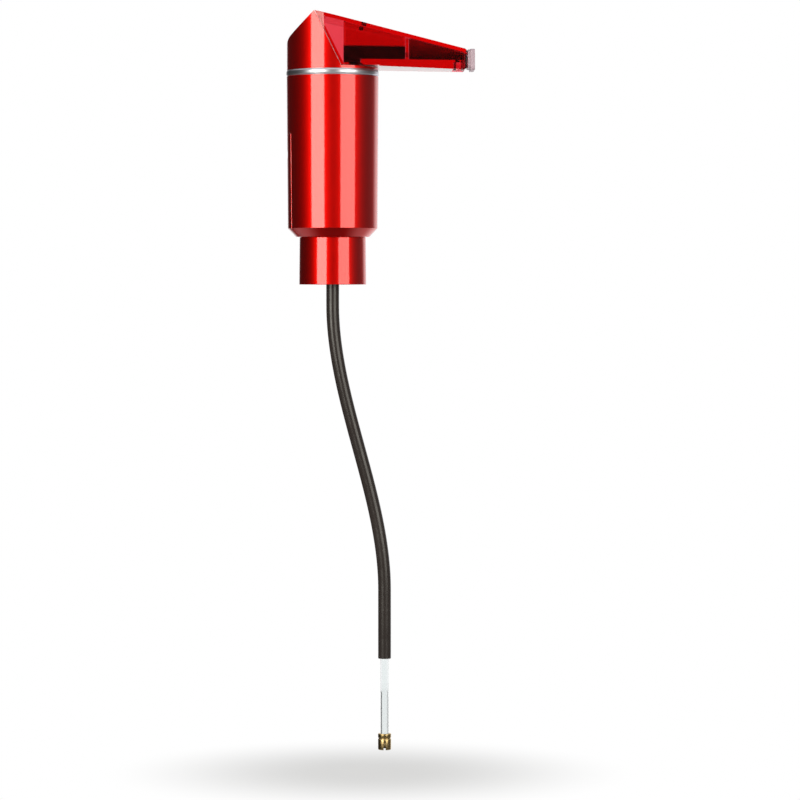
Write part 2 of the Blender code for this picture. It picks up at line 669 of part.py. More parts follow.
def make_body_shell():
    floor_edge, corner = chamfer_radius(FLOOR_TOP)
    profile = [(FLOOR_HOLE_RADIUS, BODY_BOTTOM), (BODY_FOOT_RADIUS, BODY_BOTTOM),
               (BODY_LOW_RADIUS, CHAMFER_TOP), (BODY_TOP_RADIUS, BODY_TOP),
               (BODY_TOP_RADIUS - BODY_WALL, BODY_TOP), (BODY_LOW_RADIUS - BODY_WALL, corner),
               (floor_edge, FLOOR_TOP), (FLOOR_HOLE_RADIUS, FLOOR_TOP)]
    body = turned("body_shell", profile, ROUND)
    inner = COLLAR_BOTTOM_RADIUS + DOOR_FOOT_GAP - GAP
    opening = prism("door_opening", door_outline(DOOR_HALF_WIDTH, inner),
                    BODY_BOTTOM - OVERRUN, DOOR_TOP)
    combine(body, opening)
    for i, place in enumerate(collar_screw_places()):
        socket = rod(f"boss_socket_{i}", COLLAR_BOSS_RADIUS + GAP, BODY_BOTTOM - OVERRUN,
                     COLLAR_TOP + COLLAR_BOSS_HEIGHT + GAP, place)
        combine(body, socket)
        hole = rod(f"floor_hole_{i}", SCREW_RADIUS + GAP, BODY_BOTTOM, FLOOR_TOP + OVERRUN, place, TINY)
        combine(body, hole)
    return body


def make_battery_door():
    top = DOOR_TOP - GAP
    _, corner = chamfer_radius(FLOOR_TOP)
    low_inner, _ = chamfer_radius(BODY_BOTTOM)
    profile = [(low_inner, BODY_BOTTOM), (BODY_FOOT_RADIUS, BODY_BOTTOM),
               (BODY_LOW_RADIUS, CHAMFER_TOP), (body_radius(top), top),
               (body_radius(top) - BODY_WALL, top), (BODY_LOW_RADIUS - BODY_WALL, corner)]
    door = turned("battery_door", profile, ROUND)
    inner = COLLAR_BOTTOM_RADIUS + DOOR_FOOT_GAP
    sector = prism("door_sector", door_outline(DOOR_HALF_WIDTH - GAP, inner),
                   BODY_BOTTOM - OVERRUN, DOOR_TOP + OVERRUN)
    combine(door, sector, "INTERSECT")
    inside = body_radius(top) - BODY_WALL
    root = inside + BODY_WALL / 2
    face = sqrt((inside - GAP) ** 2 - DOOR_TAB_HALF_WIDTH ** 2)
    back = face - DOOR_TAB_THICKNESS
    low, shoulder, high = top - DOOR_TAB_ROOT, top - BODY_WALL, top + DOOR_TAB_RISE
    tab = [(-back, low), (-root, low), (-root, shoulder), (-face, shoulder), (-face, high), (-back, high)]
    combine(door, prism("door_tab", tab, -DOOR_TAB_HALF_WIDTH, DOOR_TAB_HALF_WIDTH, "Y"), "UNION")
    height = BODY_BOTTOM + (DOOR_TOP - BODY_BOTTOM) * DIMPLE_HEIGHT_SHARE
    bm = bmesh.new()
    bmesh.ops.create_uvsphere(bm, u_segments=SMALL, v_segments=TINY, radius=DIMPLE_HALF_WIDTH)
    bmesh.ops.rotate(bm, verts=bm.verts, matrix=Matrix.Rotation(pi / 2, 3, "Y"))
    flat = (DIMPLE_DEPTH / DIMPLE_HALF_WIDTH, 1, DIMPLE_HALF_HEIGHT / DIMPLE_HALF_WIDTH)
    bmesh.ops.scale(bm, verts=bm.verts, vec=flat)
    bmesh.ops.translate(bm, verts=bm.verts, vec=(-body_radius(height) - GAP / 4, GAP / 4, height))
    combine(door, finish_mesh("door_dimple", bm))
    carry([door], (-BODY_LOW_RADIUS, 0, (BODY_BOTTOM + DOOR_TOP) / 2), "battery_door_axis")


# Battery bay

def make_battery_holder():
    back_edge = sqrt((BODY_LOW_RADIUS - BODY_WALL - GAP) ** 2 - HOLDER_HALF_WIDTH ** 2) - GAP
    sides = (-HOLDER_HALF_WIDTH, HOLDER_HALF_WIDTH)
    holder = block("battery_holder", (-back_edge, HOLDER_FRONT), sides, (HOLDER_BOTTOM, HOLDER_TOP))
    room = block("cell_room", (-back_edge - OVERRUN, HOLDER_FRONT_INSIDE),
                 (-HOLDER_HALF_INSIDE, HOLDER_HALF_INSIDE), (HOLDER_BOTTOM + HOLDER_WALL, HOLDER_ROOF))
    combine(holder, room)
    front = VENT_X + MANIFOLD_EDGE + SLIDE_GAP + HOLDER_FOOT_RADIUS
    side = HOLDER_HALF_WIDTH - HOLDER_FOOT_RADIUS - GAP
    feet = [(CELL_BACK_X, CELL_Y), (CELL_BACK_X, -CELL_Y), (front, side), (front, -side)]
    for i, place in enumerate(feet):
        foot = rod(f"holder_foot_{i}", HOLDER_FOOT_RADIUS, MANIFOLD_BOTTOM,
                   HOLDER_BOTTOM + HOLDER_WALL / 2, place, TINY)
        combine(holder, foot, "UNION")
    for side in (-1, 1):
        place = (TRAY_BOSS_X, TRAY_BOSS_Y * side)
        boss = rod(f"tray_boss_{side}", TRAY_BOSS_RADIUS, HOLDER_TOP - TRAY_BOSS_DEPTH, HOLDER_TOP, place)
        combine(holder, boss, "UNION")
        hole = rod(f"tray_boss_hole_{side}", SCREW_RADIUS + GAP, HOLDER_TOP - TRAY_BOSS_DEPTH / 2,
                   HOLDER_TOP + OVERRUN, place, TINY)
        combine(holder, hole)
    for y in LEAD_HOLE_PLACES_Y:
        hole = rod(f"roof_lead_hole_{y}", LEAD_RADIUS + GAP, HOLDER_ROOF - OVERRUN / 4, HOLDER_TOP + OVERRUN,
                   (LEAD_HOLE_X, y), TINY)
        combine(holder, hole)
    return holder


def make_cell(number, x, y, nub_up):
    """A cell with its nub up or down, and the room for a spring at its flat end."""
    low = CELL_FLOOR + GAP
    shoulder = CELL_LENGTH - CELL_NUB_HEIGHT
    if nub_up:
        low += SPRING_HEIGHT + GAP
        heights = [low, low, low + shoulder, low + shoulder, low + CELL_LENGTH, low + CELL_LENGTH]
    else:
        top = low + CELL_LENGTH
        heights = [top, top, top - shoulder, top - shoulder, low, low]
    radii = [0, CELL_RADIUS, CELL_RADIUS, CELL_NUB_RADIUS, CELL_NUB_RADIUS, 0]
    return turned(f"battery_{number}", list(zip(radii, heights)), SMALL, (x, y), True)


def make_cells():
    places = [(CELL_BACK_X, -CELL_Y), (CELL_BACK_X, CELL_Y), (CELL_FRONT_X, CELL_Y), (CELL_FRONT_X, -CELL_Y)]
    for i, (x, y) in enumerate(places):
        make_cell(i + 1, x, y, i % 2 == 0)


def make_contact(name, low, x_range, y_range, spring_place=None):
    """A metal strip under or over the cells, with a tapered stand-in for the coil spring on it."""
    half = CONTACT_HALF_WIDTH
    plate = block(name, (x_range[0] - half, x_range[1] + half), (y_range[0] - half, y_range[1] + half),
                  (low, low + CONTACT_THICKNESS))
    if spring_place:
        middle = low + CONTACT_THICKNESS / 2
        upward = 1 if low == LOWER_CONTACT else -1
        tip = middle + (CONTACT_THICKNESS / 2 + GAP + SPRING_HEIGHT) * upward
        profile = [(0, middle), (SPRING_FOOT_RADIUS, middle), (SPRING_TIP_RADIUS, tip), (0, tip)]
        combine(plate, turned(name + "_spring", profile, TINY, spring_place, True), "UNION")
    return plate


def make_contacts():
    back, front, side = CELL_BACK_X, CELL_FRONT_X, CELL_Y
    low, high = LOWER_CONTACT, UPPER_CONTACT
    make_contact("contact_lower_back", low, (back, back), (-side, side), (back, -side))
    make_contact("contact_lower_front", low, (front, front), (-side, side), (front, side))
    make_contact("contact_bridge", high, (back, front), (side, side), (back, side))
    make_contact("contact_positive", high, (back, back), (-side, -side))
    make_contact("contact_negative", high, (front, front), (-side, -side), (front, -side))


# Wine and air paths

def make_fluid_manifold():
    """A flat block with two channels: wine from the middle to the riser, air out to the hose."""
    front = RISER_X + RISER_BORE + MANIFOLD_EDGE / 2
    back = VENT_X - MANIFOLD_EDGE
    arm = VENT_X + MANIFOLD_EDGE
    reach = AIR_PORT_Y + MANIFOLD_EDGE
    outline = [(back, -MANIFOLD_HALF_WIDTH), (front, -MANIFOLD_HALF_WIDTH), (front, MANIFOLD_HALF_WIDTH),
               (arm, MANIFOLD_HALF_WIDTH), (arm, reach), (back, reach)]
    manifold = prism("fluid_manifold", outline, MANIFOLD_BOTTOM, MANIFOLD_TOP)
    middle = (MANIFOLD_BOTTOM + MANIFOLD_TOP) / 2
    half = WINE_CHANNEL_HEIGHT / 2
    wine = block("wine_channel", (0, RISER_X), (-STEM_BORE, STEM_BORE), (middle - half, middle + half))
    half = AIR_CHANNEL_HEIGHT / 2
    air = block("air_channel", (VENT_X - VENT_BORE, VENT_X + VENT_BORE), (0, AIR_PORT_Y),
                (middle - half, middle + half))
    combine(manifold, wine)
    combine(manifold, air)
    ports = [("wine_in", STEM_BORE, (0, 0), MANIFOLD_BOTTOM - OVERRUN, middle),
             ("wine_out", RISER_BORE, (RISER_X, 0), middle, MANIFOLD_TOP + OVERRUN),
             ("air_in", VENT_BORE, (VENT_X, 0), MANIFOLD_BOTTOM - OVERRUN, middle),
             ("air_out", VENT_BORE, (VENT_X, AIR_PORT_Y), middle, MANIFOLD_TOP + OVERRUN)]
    for name, radius, place, low, high in ports:
        combine(manifold, rod(name, radius + GAP / 2, low, high, place, TINY))
    return manifold


def make_wine_riser():
    """Straight up beside the cells, through the head's plate, and out as the spout's nipple."""
    return pipe("wine_riser", RISER_RADIUS, RISER_BORE, MANIFOLD_TOP + GAP, PLATE_TOP + NIPPLE_HEIGHT,
                (RISER_X, 0), SMALL)


def valve_heights():
    middle = HOLDER_BOTTOM + (HOLDER_TOP - HOLDER_BOTTOM) * VALVE_HEIGHT_SHARE
    return middle - VALVE_LENGTH / 2, middle + VALVE_LENGTH / 2


def make_air_hoses():
    low, high = valve_heights()
    cord("air_hose_lower", [(VENT_X, AIR_PORT_Y, MANIFOLD_TOP + GAP), (VENT_X, AIR_PORT_Y, low - GAP)],
         HOSE_RADIUS)
    outlet_x = CHAMBER_FRONT + GAP + COVER_THICKNESS / 2
    outlet_y = COVER_HALF_WIDTH + BARB_LENGTH + GAP
    rise = PUMP_AXIS_Z - high
    route = [(VENT_X + (outlet_x - VENT_X) * across, AIR_PORT_Y, high + rise * up)
             for across, up in HOSE_BEND_SHARES]
    route += [(outlet_x, AIR_PORT_Y - HOSE_RADIUS, PUMP_AXIS_Z - HOSE_RADIUS / 4),
              (outlet_x, outlet_y + HOSE_RADIUS, PUMP_AXIS_Z), (outlet_x, outlet_y, PUMP_AXIS_Z)]
    points = [(VENT_X, AIR_PORT_Y, high + GAP)] + smooth_route(route, HOSE_STEPS)
    cord("air_hose_upper", points, HOSE_RADIUS)


def make_air_check_valve():
    low, high = valve_heights()
    neck = VALVE_RADIUS / 2
    step = VALVE_CONE
    profile = [(0, low), (neck, low), (neck, low + step / 2), (VALVE_RADIUS, low + step),
               (VALVE_RADIUS, high - step), (neck, high - step / 2), (neck, high), (0, high)]
    return turned("air_check_valve", profile, SMALL, (VENT_X, AIR_PORT_Y), True)


# Pump

def make_pump_tray():
    radius = body_radius(TRAY_BOTTOM) - BODY_WALL - GAP
    tray = rod("pump_tray", radius, TRAY_BOTTOM, TRAY_TOP, segments=ROUND)
    wall = prism("cradle", motor_outline(GAP + CRADLE_WALL), TRAY_TOP - TRAY_THICKNESS / 2,
                 TRAY_TOP + CRADLE_HEIGHT)
    combine(tray, wall, "UNION")
    pocket = prism("cradle_pocket", motor_outline(GAP), TRAY_TOP, TRAY_TOP + CRADLE_HEIGHT + OVERRUN)
    combine(tray, pocket)
    low, high = TRAY_BOTTOM - OVERRUN, TRAY_TOP + OVERRUN
    holes = [(RISER_X, 0, RISER_RADIUS), (VENT_X, AIR_PORT_Y, HOSE_RADIUS)]
    holes += [(TRAY_BOSS_X, TRAY_BOSS_Y, SCREW_RADIUS), (TRAY_BOSS_X, -TRAY_BOSS_Y, SCREW_RADIUS)]
    holes += [(LEAD_HOLE_X, y, LEAD_RADIUS) for y in LEAD_HOLE_PLACES_Y]
    for i, (x, y, size) in enumerate(holes):
        combine(tray, rod(f"tray_hole_{i}", size + GAP, low, high, (x, y), SMALL))
    edge = body_radius(DOOR_TOP) - BODY_WALL - GAP - DOOR_TAB_THICKNESS - GAP - SLIDE_GAP
    side = DOOR_TAB_HALF_WIDTH + SLIDE_GAP
    notch = block("tray_notch", (-radius - OVERRUN, -edge + GAP), (-side, side), (low, high))
    return combine(tray, notch)


def make_tray_screws():
    tip = HOLDER_TOP - TRAY_BOSS_DEPTH / 2 + GAP
    for i, side in enumerate((-1, 1)):
        screw(f"tray_screw_{i + 1}", TRAY_TOP + GAP, tip, (TRAY_BOSS_X, TRAY_BOSS_Y * side))


def make_pump_motor():
    motor = prism("pump_motor", motor_outline(0), MOTOR_BOTTOM, MOTOR_TOP)
    bore = rod("shaft_bore", SHAFT_RADIUS + GAP, MOTOR_TOP - SHAFT_IN_MOTOR - GAP, MOTOR_TOP + OVERRUN,
               (MOTOR_X, 0), TINY)
    combine(motor, bore)
    face = MOTOR_X + MOTOR_HALF_FLAT
    low = TRAY_TOP + CRADLE_HEIGHT + SLIDE_GAP
    for side in (-1, 1):
        middle = TERMINAL_Y * side
        tab = block(f"terminal_{side}", (face - TERMINAL_THICKNESS, face + TERMINAL_LENGTH),
                    (middle - TERMINAL_WIDTH / 2, middle + TERMINAL_WIDTH / 2),
                    (low, low + TERMINAL_THICKNESS))
        combine(motor, tab, "UNION")
    return motor


def make_rotor():
    low = MOTOR_TOP - SHAFT_IN_MOTOR
    high = PUMP_AXIS_Z + ECCENTRIC_THICKNESS
    shaft = rod("motor_shaft", SHAFT_RADIUS, low, high, (MOTOR_X, 0), TINY)
    half = ECCENTRIC_THICKNESS / 2
    disc = rod("pump_eccentric", ECCENTRIC_RADIUS, PUMP_AXIS_Z - half, PUMP_AXIS_Z + half,
               (MOTOR_X + ECCENTRIC_THROW, 0), MEDIUM)
    bore = rod("eccentric_bore", SHAFT_RADIUS + GAP, low, high + OVERRUN, (MOTOR_X, 0), TINY)
    combine(disc, bore)
    carry([shaft, disc, bore], (MOTOR_X, 0, PUMP_AXIS_Z), "rotor_axis")


def bar_along_x(name, radius, start, end, segments=SMALL):
    """A round bar on the pump's axis."""
    outline = arc((0, PUMP_AXIS_Z), radius, 0, 2 * pi - 2 * pi / segments, segments - 1)
    return prism(name, outline, start, end, "X")


def make_pump_housing():
    back = MOTOR_X - CAVITY_HALF_X - PUMP_WALL
    half = CAVITY_HALF_Y + PUMP_WALL
    housing = block("pump_housing", (back, CHAMBER_FRONT), (-half, half), (PUMP_BOTTOM, PUMP_TOP))
    cavity = block("yoke_room", (MOTOR_X - CAVITY_HALF_X, MOTOR_X + CAVITY_HALF_X),
                   (-CAVITY_HALF_Y, CAVITY_HALF_Y), (PUMP_BOTTOM + PUMP_FLOOR, PUMP_TOP + OVERRUN))
    combine(housing, cavity)
    hole = rod("shaft_hole", SHAFT_RADIUS + SLIDE_GAP, PUMP_BOTTOM - OVERRUN,
               PUMP_BOTTOM + PUMP_FLOOR + OVERRUN, (MOTOR_X, 0), TINY)
    combine(housing, hole)
    combine(housing, bar_along_x("rod_hole", ROD_RADIUS + SLIDE_GAP, CHAMBER_BACK - PUMP_WALL - GAP,
                                 CHAMBER_BACK + GAP))
    combine(housing, bar_along_x("chamber", DIAPHRAGM_RADIUS + SLIDE_GAP, CHAMBER_BACK,
                                 CHAMBER_FRONT + OVERRUN, MEDIUM))
    return housing


def make_pump_carriage():
    low, high = PUMP_AXIS_Z - YOKE_THICKNESS / 2, PUMP_AXIS_Z + YOKE_THICKNESS / 2
    yoke = block("pump_yoke", (MOTOR_X - YOKE_HALF_X, MOTOR_X + YOKE_HALF_X),
                 (-YOKE_HALF_Y, YOKE_HALF_Y), (low, high))
    slot = block("yoke_slot", (MOTOR_X - SLOT_HALF_X, MOTOR_X + SLOT_HALF_X),
                 (-SLOT_HALF_Y, SLOT_HALF_Y), (low - OVERRUN, high + OVERRUN))
    combine(yoke, slot)
    bar = bar_along_x("yoke_rod", ROD_RADIUS, MOTOR_X + YOKE_HALF_X - YOKE_BAR / 2,
                      DIAPHRAGM_BACK - GAP, TINY)
    combine(yoke, bar, "UNION")
    disc = bar_along_x("pump_diaphragm", DIAPHRAGM_RADIUS, DIAPHRAGM_BACK,
                       DIAPHRAGM_BACK + DIAPHRAGM_THICKNESS, MEDIUM)
    carry([yoke, slot, bar, disc], (DIAPHRAGM_BACK, 0, PUMP_AXIS_Z), "pump_stroke_axis")


def make_pump_valve_cover():
    start = CHAMBER_FRONT + GAP
    low = PUMP_BOTTOM + GAP
    high = 2 * PUMP_AXIS_Z - low
    cover = block("pump_valve_cover", (start, start + COVER_THICKNESS),
                  (-COVER_HALF_WIDTH, COVER_HALF_WIDTH), (low, high))
    centre = (start + COVER_THICKNESS / 2, PUMP_AXIS_Z)
    outline = arc(centre, BARB_RADIUS, 0, 2 * pi - 2 * pi / TINY, TINY - 1)
    barb = prism("outlet_barb", outline, COVER_HALF_WIDTH - COVER_THICKNESS / 2,
                 COVER_HALF_WIDTH + BARB_LENGTH, "Y")
    return combine(cover, barb, "UNION")


# Ring and head

def make_chrome_ring():
    outer = BODY_TOP_RADIUS + RING_PROUD
    spigot = BODY_TOP_RADIUS - BODY_WALL - GAP
    inner = spigot - SPIGOT_WALL
    profile = [(inner, RING_BOTTOM - SPIGOT_DEPTH), (spigot, RING_BOTTOM - SPIGOT_DEPTH),
               (spigot, RING_BOTTOM), (outer - RING_EDGE, RING_BOTTOM), (outer, RING_BOTTOM + RING_EDGE),
               (outer, RING_TOP - RING_EDGE), (outer - RING_EDGE, RING_TOP), (inner, RING_TOP)]
    return turned("chrome_ring", profile, ROUND)


def head_side(inset, low):
    """The head from the side, (x, z): upright back, fillet, slope, apex and slanted front."""
    back = -(HEAD_RADIUS - inset)
    drop = inset / cos(BACK_ANGLE)
    front_apex_z = APEX_Z
    for _ in range(REFINEMENTS):
        x = cut_x(front_apex_z, inset)
        front_apex_z = APEX_Z - drop - (APEX_X - x) * tan(BACK_ANGLE)
    apex = (cut_x(front_apex_z, inset), front_apex_z)
    corner_z = front_apex_z - (apex[0] - back) * tan(BACK_ANGLE)
    fillet = BACK_FILLET - inset
    turn = pi / 2 - BACK_ANGLE
    reach = fillet * tan(turn / 2)
    centre = (back + fillet, corner_z - reach)
    return [(back, low)] + arc(centre, fillet, pi, pi - turn, TINY // 2) + [apex], apex


def make_head_shell():
    outline, apex = head_side(0, HEAD_BOTTOM)
    wide = HEAD_RADIUS + OVERRUN
    outline += [(cut_x(PLATE_TOP), PLATE_TOP), (wide, PLATE_TOP), (wide, HEAD_BOTTOM)]
    outline[0] = (-wide, HEAD_BOTTOM)
    outline.insert(1, (-wide, outline[1][1]))
    head = prism("head_shell", outline, -wide, wide, "Y")
    combine(head, rod("head_round", HEAD_RADIUS, HEAD_BOTTOM - OVERRUN, APEX_Z + OVERRUN,
                      segments=ROUND), "INTERSECT")
    shelf = PLATE_TOP + GAP
    inside, _ = head_side(HEAD_WALL, shelf)
    inside += [(cut_x(shelf, HEAD_WALL), shelf)]
    hollow = prism("head_hollow", inside, -wide, wide, "Y")
    combine(hollow, rod("head_hollow_round", HEAD_RADIUS - HEAD_WALL, shelf - OVERRUN, APEX_Z,
                        segments=ROUND), "INTERSECT")
    combine(head, hollow)
    skirt_outer = BODY_TOP_RADIUS - BODY_WALL - GAP - SPIGOT_WALL - GAP
    skirt_inner = skirt_outer - SKIRT_WALL
    skirt = pipe("head_skirt", skirt_outer, skirt_inner, HEAD_BOTTOM - SKIRT_DEPTH,
                 HEAD_BOTTOM + HEAD_LIP / 2, segments=ROUND)
    combine(head, skirt, "UNION")
    gap_front = cut_x(HEAD_BOTTOM - OVERRUN, HEAD_WALL)
    half = sqrt(skirt_inner ** 2 - gap_front ** 2)
    start = atan2(half, gap_front)
    mouth = arc((0, 0), skirt_inner, start, 2 * pi - start, MEDIUM)
    combine(head, prism("head_mouth", mouth, HEAD_BOTTOM - SKIRT_DEPTH / 2, shelf + GAP))
    inlet = rod("head_inlet", RISER_RADIUS + GAP, HEAD_BOTTOM - OVERRUN, PLATE_TOP + OVERRUN,
                (RISER_X, 0))
    combine(head, inlet)
    return head


def make_button_frame():
    """An empty on the slope: its Z points out of the slope and its Y runs across."""
    frame = bpy.data.objects.new("button_axis", None)
    frame.location = BUTTON_PLACE
    frame.rotation_euler = (0, -BACK_ANGLE, 0)
    bpy.context.scene.collection.objects.link(frame)
    return frame


def add_button_seat(head, frame):
    """Cuts the button's hole in the head and adds the posts that carry the switch board."""
    half = BUTTON_HALF_STRAIGHT
    hole = prism("button_hole", pill(half, BUTTON_RADIUS + SLIDE_GAP + BEZEL_WIDTH + GAP),
                 -HEAD_WALL - OVERRUN, OVERRUN)
    combine(head, put(hole, frame))
    for side in (-1, 1):
        place = (-POST_DOWN, POST_Y * side)
        post = rod(f"board_post_{side}", POST_RADIUS, BOARD_TOP + GAP, -HEAD_WALL / 2, place)
        combine(head, put(post, frame), "UNION")
        drill = rod(f"post_hole_{side}", SCREW_RADIUS + GAP, BOARD_TOP - OVERRUN, -HEAD_WALL * 2, place,
                    TINY)
        combine(head, put(drill, frame))


def make_button(frame):
    half = BUTTON_HALF_STRAIGHT
    bezel = prism("button_bezel", pill(half, BUTTON_RADIUS + SLIDE_GAP + BEZEL_WIDTH),
                  -HEAD_WALL, BEZEL_PROUD)
    opening = prism("bezel_opening", pill(half, BUTTON_RADIUS + SLIDE_GAP), -HEAD_WALL - OVERRUN, OVERRUN)
    combine(put(bezel, frame), put(opening, frame))
    cap = prism("button_cap", pill(half, BUTTON_RADIUS), -BUTTON_THICKNESS, 0)
    flange = prism("button_flange", pill(half, BUTTON_SIDE), -BUTTON_THICKNESS - BUTTON_FLANGE,
                   -BUTTON_THICKNESS)
    combine(put(cap, frame), put(flange, frame), "UNION")


def make_switch(frame):
    plunger_top = -(BUTTON_THICKNESS + BUTTON_FLANGE + GAP)
    plunger_low = plunger_top - PLUNGER_LENGTH + BUTTON_TRAVEL
    put(rod("switch_plunger", PLUNGER_RADIUS, plunger_low, plunger_top), frame)
    low = BOARD_TOP + GAP
    size = SWITCH_HALF_WIDTH
    body = block("switch_body", (-size, size), (-size, size), (low, low + SWITCH_HEIGHT - GAP))
    well = rod("switch_well", PLUNGER_RADIUS + SLIDE_GAP, low + SWITCH_BASE, 0)
    combine(put(body, frame), put(well, frame))
    board = block("switch_board", (-BOARD_BELOW, BOARD_ABOVE), (-BOARD_HALF_WIDTH, BOARD_HALF_WIDTH),
                  (BOARD_TOP - BOARD_THICKNESS, BOARD_TOP))
    put(board, frame)
    under = BOARD_TOP - BOARD_THICKNESS - GAP
    tip = BOARD_TOP + GAP + BOARD_SCREW_BITE
    for i, side in enumerate((-1, 1)):
        place = (-POST_DOWN, POST_Y * side)
        hole = rod(f"board_hole_{side}", SCREW_RADIUS + GAP, BOARD_TOP - BOARD_THICKNESS - OVERRUN,
                   BOARD_TOP + OVERRUN, place, TINY)
        combine(board, put(hole, frame))
        screw(f"board_screw_{i + 1}", under, tip, place, frame)


# Spout

def spout_side(rear_inset, roof_inset, front_inset, low_points):
    """The spout from the side, (x, z): slanted rear, sloping roof and nose, then the low points."""
    rear_gap = GAP + rear_inset
    top_z = APEX_Z
    for _ in range(REFINEMENTS):
        top_x = cut_x(top_z, -rear_gap)
        top_z = roof_z(top_x) - roof_inset
    nose = SPOUT_REACH - front_inset
    nose_z = roof_z(nose) - roof_inset
    fillet = SPOUT_NOSE_FILLET
    centre = (nose - fillet, nose_z - fillet)
    return [(top_x, top_z)] + arc(centre, fillet, pi / 2, 0, TINY // 2) + low_points


def tip_low_z(x):
    """The underside of the spout beyond the head."""
    share = (x - HEAD_RADIUS) / (SPOUT_REACH - HEAD_RADIUS)
    return PLATE_TOP - SPOUT_STEP - (SPOUT_TIP_DROP - SPOUT_STEP) * share


def make_spout_shell():
    edge = HEAD_RADIUS + GAP
    chamfer = SPOUT_NOSE_CHAMFER
    low_points = [(SPOUT_REACH, tip_low_z(SPOUT_REACH) + chamfer),
                  (SPOUT_REACH - chamfer, tip_low_z(SPOUT_REACH - chamfer)),
                  (edge, tip_low_z(edge)), (edge, SPOUT_BOTTOM),
                  (cut_x(SPOUT_BOTTOM, -GAP), SPOUT_BOTTOM)]
    shell = prism("spout_shell", spout_plan(0), SPOUT_BOTTOM - OVERRUN * 2, APEX_Z + OVERRUN)
    wide = HEAD_RADIUS + OVERRUN
    side = prism("spout_side", spout_side(0, 0, 0, low_points), -wide, wide, "Y")
    combine(shell, side, "INTERSECT")
    low = SPOUT_BOTTOM - OVERRUN * 2
    nose = SPOUT_REACH - SPOUT_WALL
    inside = spout_side(SPOUT_WALL, SPOUT_ROOF, SPOUT_WALL,
                        [(nose, low), (cut_x(low, -GAP - SPOUT_WALL), low)])
    room = prism("spout_room", spout_plan(SPOUT_WALL), low - OVERRUN, APEX_Z)
    combine(room, prism("spout_room_side", inside, -wide, wide, "Y"), "INTERSECT")
    combine(shell, room)
    hole = rod("grommet_hole", GROMMET_RADIUS + GAP, roof_z(GROMMET_X) - SPOUT_ROOF - OVERRUN,
               roof_z(GROMMET_X) + OVERRUN, (GROMMET_X, 0), SMALL)
    return combine(shell, hole)


def inside_spout(name, side_points):
    """A solid that fills the spout's plan with a clearance, cut to a side outline."""
    plan = spout_plan(SPOUT_WALL + GAP)
    low = min(z for _, z in side_points) - OVERRUN
    high = max(z for _, z in side_points) + OVERRUN
    thing = prism(name, plan, low, high)
    wide = HEAD_RADIUS + OVERRUN
    return combine(thing, prism(name + "_side", side_points, -wide, wide, "Y"), "INTERSECT")


def rear_x(z):
    """The clear limit behind the pieces inside the spout."""
    return cut_x(z, -(GAP + SPOUT_WALL + GAP))


def make_spout_base():
    top = PLATE_TOP + BASE_TOP
    thin_top = SPOUT_BOTTOM + BASE_THIN
    edge = HEAD_RADIUS + GAP
    nose = SPOUT_REACH - SPOUT_WALL - GAP
    start = BASE_START_X
    fillet = BASE_FILLET
    round_off = arc((start + fillet, top - fillet), fillet, pi / 2, pi, TINY // 2)
    outline = [(rear_x(SPOUT_BOTTOM), SPOUT_BOTTOM), (edge, SPOUT_BOTTOM), (edge, tip_low_z(edge)),
               (BASE_END_X, tip_low_z(BASE_END_X)), (BASE_END_X, top - BASE_THIN), (nose, top - BASE_THIN),
               (nose, top)] + round_off + [(start, thin_top), (rear_x(thin_top), thin_top)]
    base = inside_spout("spout_base", outline)
    seal_hole = rod("seal_hole", RISER_RADIUS + GAP + SEAL_WIDTH + GAP, SPOUT_BOTTOM - OVERRUN,
                    thin_top + OVERRUN, (RISER_X, 0), MEDIUM)
    combine(base, seal_hole)
    nozzle_hole = rod("nozzle_hole", NOZZLE_SPIGOT + GAP, top - BASE_THIN - OVERRUN, top + OVERRUN,
                      (NOZZLE_X, 0), SMALL)
    return combine(base, nozzle_hole)


def make_inlet_seal():
    """A ring that grips the riser's nipple inside the spout's floor."""
    inner = RISER_RADIUS + GAP
    return pipe("inlet_seal", inner + SEAL_WIDTH, inner, SPOUT_BOTTOM, SPOUT_BOTTOM + BASE_THIN,
                (RISER_X, 0), SMALL)


def channel(name, outer, inner):
    """A smoked tray: an outer side outline less an inner one, with its walls left standing."""
    tray = inside_spout(name, outer)
    plan = spout_plan(SPOUT_WALL + GAP + CHANNEL_WALL)
    wide = HEAD_RADIUS + OVERRUN
    low = min(z for _, z in inner)
    high = max(z for _, z in inner)
    room = prism(name + "_room", plan, low - OVERRUN, high + OVERRUN)
    combine(room, prism(name + "_room_side", inner, -wide, wide, "Y"), "INTERSECT")
    return combine(tray, room)


